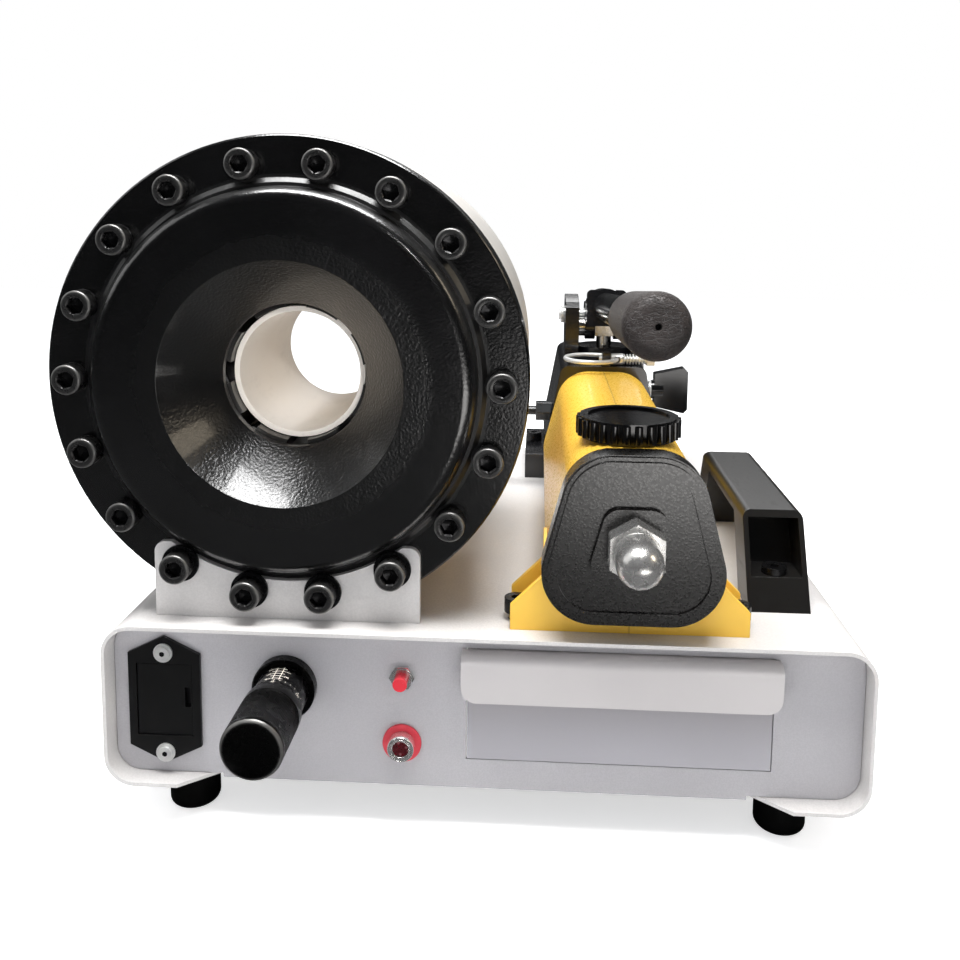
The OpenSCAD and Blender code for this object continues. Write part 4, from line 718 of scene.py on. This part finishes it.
def dark_sockets(node, name, across, inset):
    """A dark hexagon of painted shade, sunk inset millimetres into each of a node's screws, heads
    to the front.
    """
    verts, faces = [], []
    for solid in islands(node):
        low = [min(c[k] for c in solid) for k in range(3)]
        high = [max(c[k] for c in solid) for k in range(3)]
        first = len(verts)
        for n in range(6):
            turn = TURN * (n + 0.5) / 6
            reach = across / math.sqrt(3) * MM
            verts.append(((low[0] + high[0]) / 2 + reach * math.cos(turn), low[1] + inset * MM,
                          (low[2] + high[2]) / 2 + reach * math.sin(turn)))
        faces.append(tuple(range(first, first + 6)))
    mesh = bpy.data.meshes.new(name)
    mesh.from_pydata(verts, [], faces)
    return keep_piece(link(name, mesh), body_of(node), "knob_black")


# Dark hexagons that stand in for the shade inside the battery screws' shallow sockets
dark_sockets("battery_screws", "battery_screw_socket_shade", 2.7, 0.02)

# ---------------------------------------------------------------- the setting dial


def thimble_tree():
    """A knurled thimble on its axis, with a bevel at one end and a bright rim at the other."""
    tree, size = geometry_tree("knurled_thimble", [
        ("Radius", "Float", 0.0155), ("Length", "Float", 0.04), ("Bevel radius", "Float", 0.0142),
        ("Bevel length", "Float", 0.006), ("Knurl depth", "Float", 0.00034),
        ("Place", "Vector", None), ("Rotation", "Rotation", None), ("Material", "Material", None)])
    radius, length, knurl = size["Radius"], size["Length"], size["Knurl depth"]
    bevel = size["Bevel length"]
    rows = [
        (0.0, 0.0, 0.0, 0.0, 0.0),
        (size["Bevel radius"], 0.0, 0.0, 0.0, 0.0),
        (radius - 0.00015, bevel - 0.0002, 0.0, 0.0, 0.0),
        (radius, bevel + 0.0003, 0.0, 0.0, 0.05),
        (radius, bevel + 0.0060, 0.0, 0.0, 0.0),
        (radius - 0.0004, bevel + 0.0064, 0.0, 0.0, 0.0),
        (radius - 0.0004, bevel + 0.0070, 0.0, 0.0, 0.0),
        (radius, bevel + 0.0074, 0.0, 0.0, 0.05),
        (radius, bevel + 0.0077, 0.0, knurl, 0.0),
        (radius, length - 0.0042, 0.0, knurl, 0.0),
        (radius, length - 0.0039, 0.0, 0.0, 0.0),
        (radius, length - 0.0016, 0.0, 0.0, 0.0),
        (radius - 0.0002, length - 0.0011, 0.0, 0.0, 0.9),
        (radius - 0.0011, length - 0.0002, 0.0, 0.0, 0.9),
        (radius - 0.0015, length, 0.0, 0.0, 0.2),
        (radius - 0.0022, length, 0.0, 0.0, 0.0),
        (radius - 0.0026, length - 0.0003, 0.0, 0.0, 0.0),
        (0.0, length - 0.0003, 0.0, 0.0, 0.0),
    ]
    thimble = turned(tree, rows, 240)
    placed = tree.node("GeometryNodeTransform", {
        "Geometry": thimble, "Translation": size["Place"], "Rotation": size["Rotation"]})
    smooth = tree.node("GeometryNodeSetShadeSmooth", {"Geometry": placed, "Shade Smooth": True})
    done = tree.node("GeometryNodeSetMaterial", {"Geometry": smooth, "Material": size["Material"]})
    tree.node("NodeGroupOutput", {"Geometry": done})
    return tree.nodes


def knurled_thimble(node, name, bevel_r, bevel_l):
    low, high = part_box(node)
    mesh = bpy.data.meshes.new(name)
    piece = link(name, mesh)
    modifier = piece.modifiers.new("knurled thimble", "NODES")
    modifier.node_group = thimble_tree()
    set_inputs(modifier, {
        "Radius": (high[0] - low[0]) / 2, "Length": high[1] - low[1],
        "Bevel radius": bevel_r * MM, "Bevel length": bevel_l * MM,
        "Place": ((low[0] + high[0]) / 2, high[1], (low[2] + high[2]) / 2),
        "Rotation": (math.pi / 2, 0, 0), "Material": FINISHES[SLOT[node]]})
    plain_mesh(piece)
    sharpened(piece, 40)
    return keep_piece(piece, body_of(node), SLOT[node], node)


# Strokes of each figure in a box one wide and two high
FIGURES = {
    "0": [[(0, 0), (1, 0), (1, 2), (0, 2), (0, 0)]],
    "1": [[(0.5, 0), (0.5, 2)]],
    "2": [[(0, 2), (1, 2), (1, 1), (0, 1), (0, 0), (1, 0)]],
    "3": [[(0, 2), (1, 2), (1, 0), (0, 0)], [(0.2, 1), (1, 1)]],
    "4": [[(0, 2), (0, 1), (1, 1)], [(1, 2), (1, 0)]],
    "5": [[(1, 2), (0, 2), (0, 1), (1, 1), (1, 0), (0, 0)]],
}


def figure_strokes(text, side, level, tall, up=(0, 1)):
    """Strokes for a number whose middle stands at (side, level), its top pointing along up."""
    wide, step = tall * 0.5, tall * 0.75
    strokes = []
    for n, figure in enumerate(text):
        start = (n - (len(text) - 1) / 2) * step - wide / 2
        for path in FIGURES[figure]:
            flat = [(start + x * wide, (y / 2 - 0.5) * tall) for x, y in path]
            strokes.append([(side + x * up[1] + y * up[0], level - x * up[0] + y * up[1])
                            for x, y in flat])
    return strokes


def wrapped_strokes(name, strokes, node, radius_at, width=0.34, lift=0.03):
    """Paint strokes on a turned piece: sideways is around it, level is from the panel out."""
    low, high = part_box(node)
    middle, wall = (low[0] + high[0]) / 2, PANEL_Y
    height = (low[2] + high[2]) / 2
    verts, faces = [], []
    for path in strokes:
        for (x0, y0), (x1, y1) in zip(path, path[1:]):
            length = math.hypot(x1 - x0, y1 - y0)
            parts = max(1, math.ceil(length / 0.5))
            ex, ey = (x1 - x0) / length * width / 2, (y1 - y0) / length * width / 2
            first = len(verts)
            for k in range(parts + 1):
                t = k / parts
                end = -1 if k == 0 else 1 if k == parts else 0
                for side in (-1, 1):
                    x = x0 + (x1 - x0) * t - side * ey + end * ex
                    y = y0 + (y1 - y0) * t + side * ex + end * ey
                    r = radius_at(y) + lift
                    turn = math.pi / 2 - x / radius_at(y)
                    verts.append((middle + r * math.cos(turn) * MM, wall - y * MM,
                                  height + r * math.sin(turn) * MM))
            faces += [(first + 2 * k, first + 2 * k + 2, first + 2 * k + 3, first + 2 * k + 1)
                      for k in range(parts)]
    mesh = bpy.data.meshes.new(name)
    mesh.from_pydata(verts, [], faces)
    return keep_piece(link(name, mesh), body_of(node), "liner_cream")


# Radii of the bevel's small end and of the barrel, length of the bevel and its distance
# from the panel, in millimetres
BEVEL_R, BARREL_R, BEVEL_L, THIMBLE_START = 14.2, 13.8, 6.0, 21.3
PANEL_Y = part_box("front_panel")[0][1]
knurled_thimble("dial_thimble", "knurled_thimble", BEVEL_R, BEVEL_L)
thimble_low, thimble_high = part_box("dial_thimble")
THIMBLE_R = (thimble_high[0] - thimble_low[0]) / 2 / MM

# The barrel's scale: two long lines, five cross lines and a figure beside each
LONG_LINES, LONG_FROM, LONG_TO = (-1.6, 1.8), 8.4, 20.6
CROSS_FROM, CROSS_TO, FIRST_CROSS, CROSS_STEP = -3.6, 3.4, 9.4, 2.5
barrel_marks = [[(side, LONG_FROM), (side, LONG_TO)] for side in LONG_LINES]
for n in range(5):
    level = FIRST_CROSS + n * CROSS_STEP
    barrel_marks.append([(CROSS_FROM, level), (CROSS_TO, level)])
    barrel_marks += figure_strokes(str(n), 5.0 if n % 2 else -5.2, level, 1.9, (1, 0))
wrapped_strokes("barrel_marks", barrel_marks, "dial_barrel", lambda level: BARREL_R)

# The bevel's scale: thirty lines around it, every fifth one longer and with a figure
BEVEL_LINES, LINE_START = 30, THIMBLE_START + 0.4
bevel_marks = []
for n in range(BEVEL_LINES):
    side = n * TURN * BEVEL_R / BEVEL_LINES
    tall = 2.0 if n % 5 == 0 else 1.1
    bevel_marks.append([(side, LINE_START), (side, LINE_START + tall)])
    if n % 5 == 0:
        figure = str((n // 5) * 5 + 5 if n else 0)
        bevel_marks += figure_strokes(figure, side, THIMBLE_START + 4.4, 2.0, (0, 1))
wrapped_strokes("bevel_marks", bevel_marks, "dial_thimble", lambda level: BEVEL_R + (
    THIMBLE_R - BEVEL_R) * min(1.0, (level - THIMBLE_START) / BEVEL_L))

# ---------------------------------------------------------------- what is left of the CAD nodes

for node, thing in frame["nodes"].items():
    if not thing.hide_render:
        thing.data.materials.clear()
        thing.data.materials.append(FINISHES[SLOT[node]])

# ---------------------------------------------------------------- floor, lamps, camera


# The card that polished metal mirrors lies between these places, each from edge to full light
CARD_LEFT, CARD_RIGHT = (0.03, 0.14), (0.9, 0.5)
CARD_NEAR, CARD_FAR = (-0.66, -0.9), (-2, -1.5)
FLOOR_HALF = 3.0


def floor():
    """Pale floor that the camera sees as lit paper and reflections as dark with a card on it."""
    half = FLOOR_HALF
    mesh = bpy.data.meshes.new("studio_floor")
    mesh.from_pydata([(-half, -half, 0), (half, -half, 0), (half, half, 0), (-half, half, 0)],
                     [], [(0, 1, 2, 3)])
    ground = link("studio_floor", mesh)
    f = Finish("studio_floor")
    speck = f.noise(0.02, 2)
    f.feed(Base_Color=f.blend(speck, (0.80, 0.80, 0.80, 1), (0.82, 0.82, 0.82, 1)),
           Roughness=0.9, Specular_IOR_Level=0.0)
    plain = Value(f, f.shader.outputs[0])
    glow = f.node("ShaderNodeEmission", {"Color": (1, 1, 1, 1), "Strength": FLOOR_GLOW})
    lit = f.node("ShaderNodeAddShader", {0: plain, 1: glow})
    dark_end = f.node("ShaderNodeBsdfDiffuse", {"Color": (0.05, 0.05, 0.05, 1)})
    card = f.node("ShaderNodeEmission", {"Color": (0.98, 0.96, 0.94, 1), "Strength": CARD_GLOW})
    side, depth = f.along("X"), f.along("Y")
    across = ease(side, *CARD_LEFT) * ease(side, *CARD_RIGHT)
    on_card = across * ease(depth, *CARD_NEAR) * ease(depth, *CARD_FAR)
    dim = f.node("ShaderNodeMixShader", {0: on_card, 1: dark_end, 2: card})
    seen = f.node("ShaderNodeMixShader",
                  {0: f.node("ShaderNodeLightPath", output="Is Camera Ray"), 1: plain, 2: lit})
    glossy = f.node("ShaderNodeMixShader",
                    {0: f.node("ShaderNodeLightPath", output="Is Glossy Ray"), 1: seen, 2: dim})
    f.nodes.links.new(glossy.socket, f.nodes.nodes["Material Output"].inputs["Surface"])
    mesh.materials.append(f.material)


def aimed(name, data, place, target):
    """Puts a lamp at a place and points it at a target."""
    thing = link(name, data)
    thing.location = place
    thing.rotation_euler = (Vector(target) - Vector(place)).to_track_quat("-Z", "Y").to_euler()


def softbox(name, place, size, power, colour=(1, 1, 1)):
    data = bpy.data.lights.new(name, "AREA")
    data.shape, data.size, data.size_y = "RECTANGLE", size[0], size[1]
    data.energy, data.color = power, colour
    aimed(name, data, place, (0, 0, 0.15))


def bore_lamp(place, below, power, degrees, softness):
    """A narrow lamp into the funnel, aimed a little below its middle."""
    data = bpy.data.lights.new("bore_lamp", "SPOT")
    data.energy, data.spot_size = power, math.radians(degrees)
    data.spot_blend, data.shadow_soft_size = 0.5, softness
    aimed("bore_lamp", data, place, (head[0], head[1], head[2] - below))


def studio():
    """Even fill, darker in reflections and white to the camera; softboxes and a narrow lamp."""
    world = bpy.data.worlds.new("studio")
    bpy.context.scene.world = world
    world.use_nodes = True
    world.node_tree.nodes.clear()
    tree = Tree(world.node_tree)
    fill = tree.node("ShaderNodeBackground", {"Color": (0.93, 0.95, 1.0, 1), "Strength": FILL})
    room = tree.node("ShaderNodeBackground", {"Color": (0.95, 0.97, 1.0, 1), "Strength": ROOM})
    paper = tree.node("ShaderNodeBackground", {"Color": (1, 1, 1, 1), "Strength": 1.0})
    glossy = tree.node("ShaderNodeLightPath", output="Is Glossy Ray")
    shine = tree.node("ShaderNodeMixShader", {0: glossy, 1: fill, 2: room})
    direct = tree.node("ShaderNodeLightPath", output="Is Camera Ray")
    seen = tree.node("ShaderNodeMixShader", {0: direct, 1: shine, 2: paper})
    tree.node("ShaderNodeOutputWorld", {"Surface": seen})
    softbox("top_softbox", (-0.05, -0.34, 1.6), (1.05, 0.5), 40.0)
    softbox("left_softbox", (-1.6, -0.2, 1.15), (1.2, 1.3), 5.5)
    softbox("warm_softbox", (1.5, -0.5, 1.15), (0.35, 0.5), 2.6, (1.0, 0.86, 0.66))
    bore_lamp((0.35, -1.25, 0.80), below=0.004, power=38.0, degrees=5.2, softness=0.04)
    softbox("back_softbox", (0.2, 1.7, 1.2), (1.4, 0.8), 8.0)


CAMERA_PLACE = (0.043017, -0.648974, 0.333219)
CAMERA_TURN = (83.23257, -0.552544, 3.42509)
CAMERA_LENS, CAMERA_SHIFT = 36.375, (-0.002228, -0.164431)


def camera():
    data = bpy.data.cameras.new("camera")
    data.sensor_width, data.lens = 36.0, CAMERA_LENS
    data.shift_x, data.shift_y = CAMERA_SHIFT
    data.clip_start, data.clip_end = 0.01, 50.0
    thing = link("camera", data)
    thing.location = CAMERA_PLACE
    thing.rotation_euler = Euler([math.radians(angle) for angle in CAMERA_TURN])
    bpy.context.scene.camera = thing


floor()
studio()
camera()
bpy.context.scene.view_settings.view_transform = "Standard"
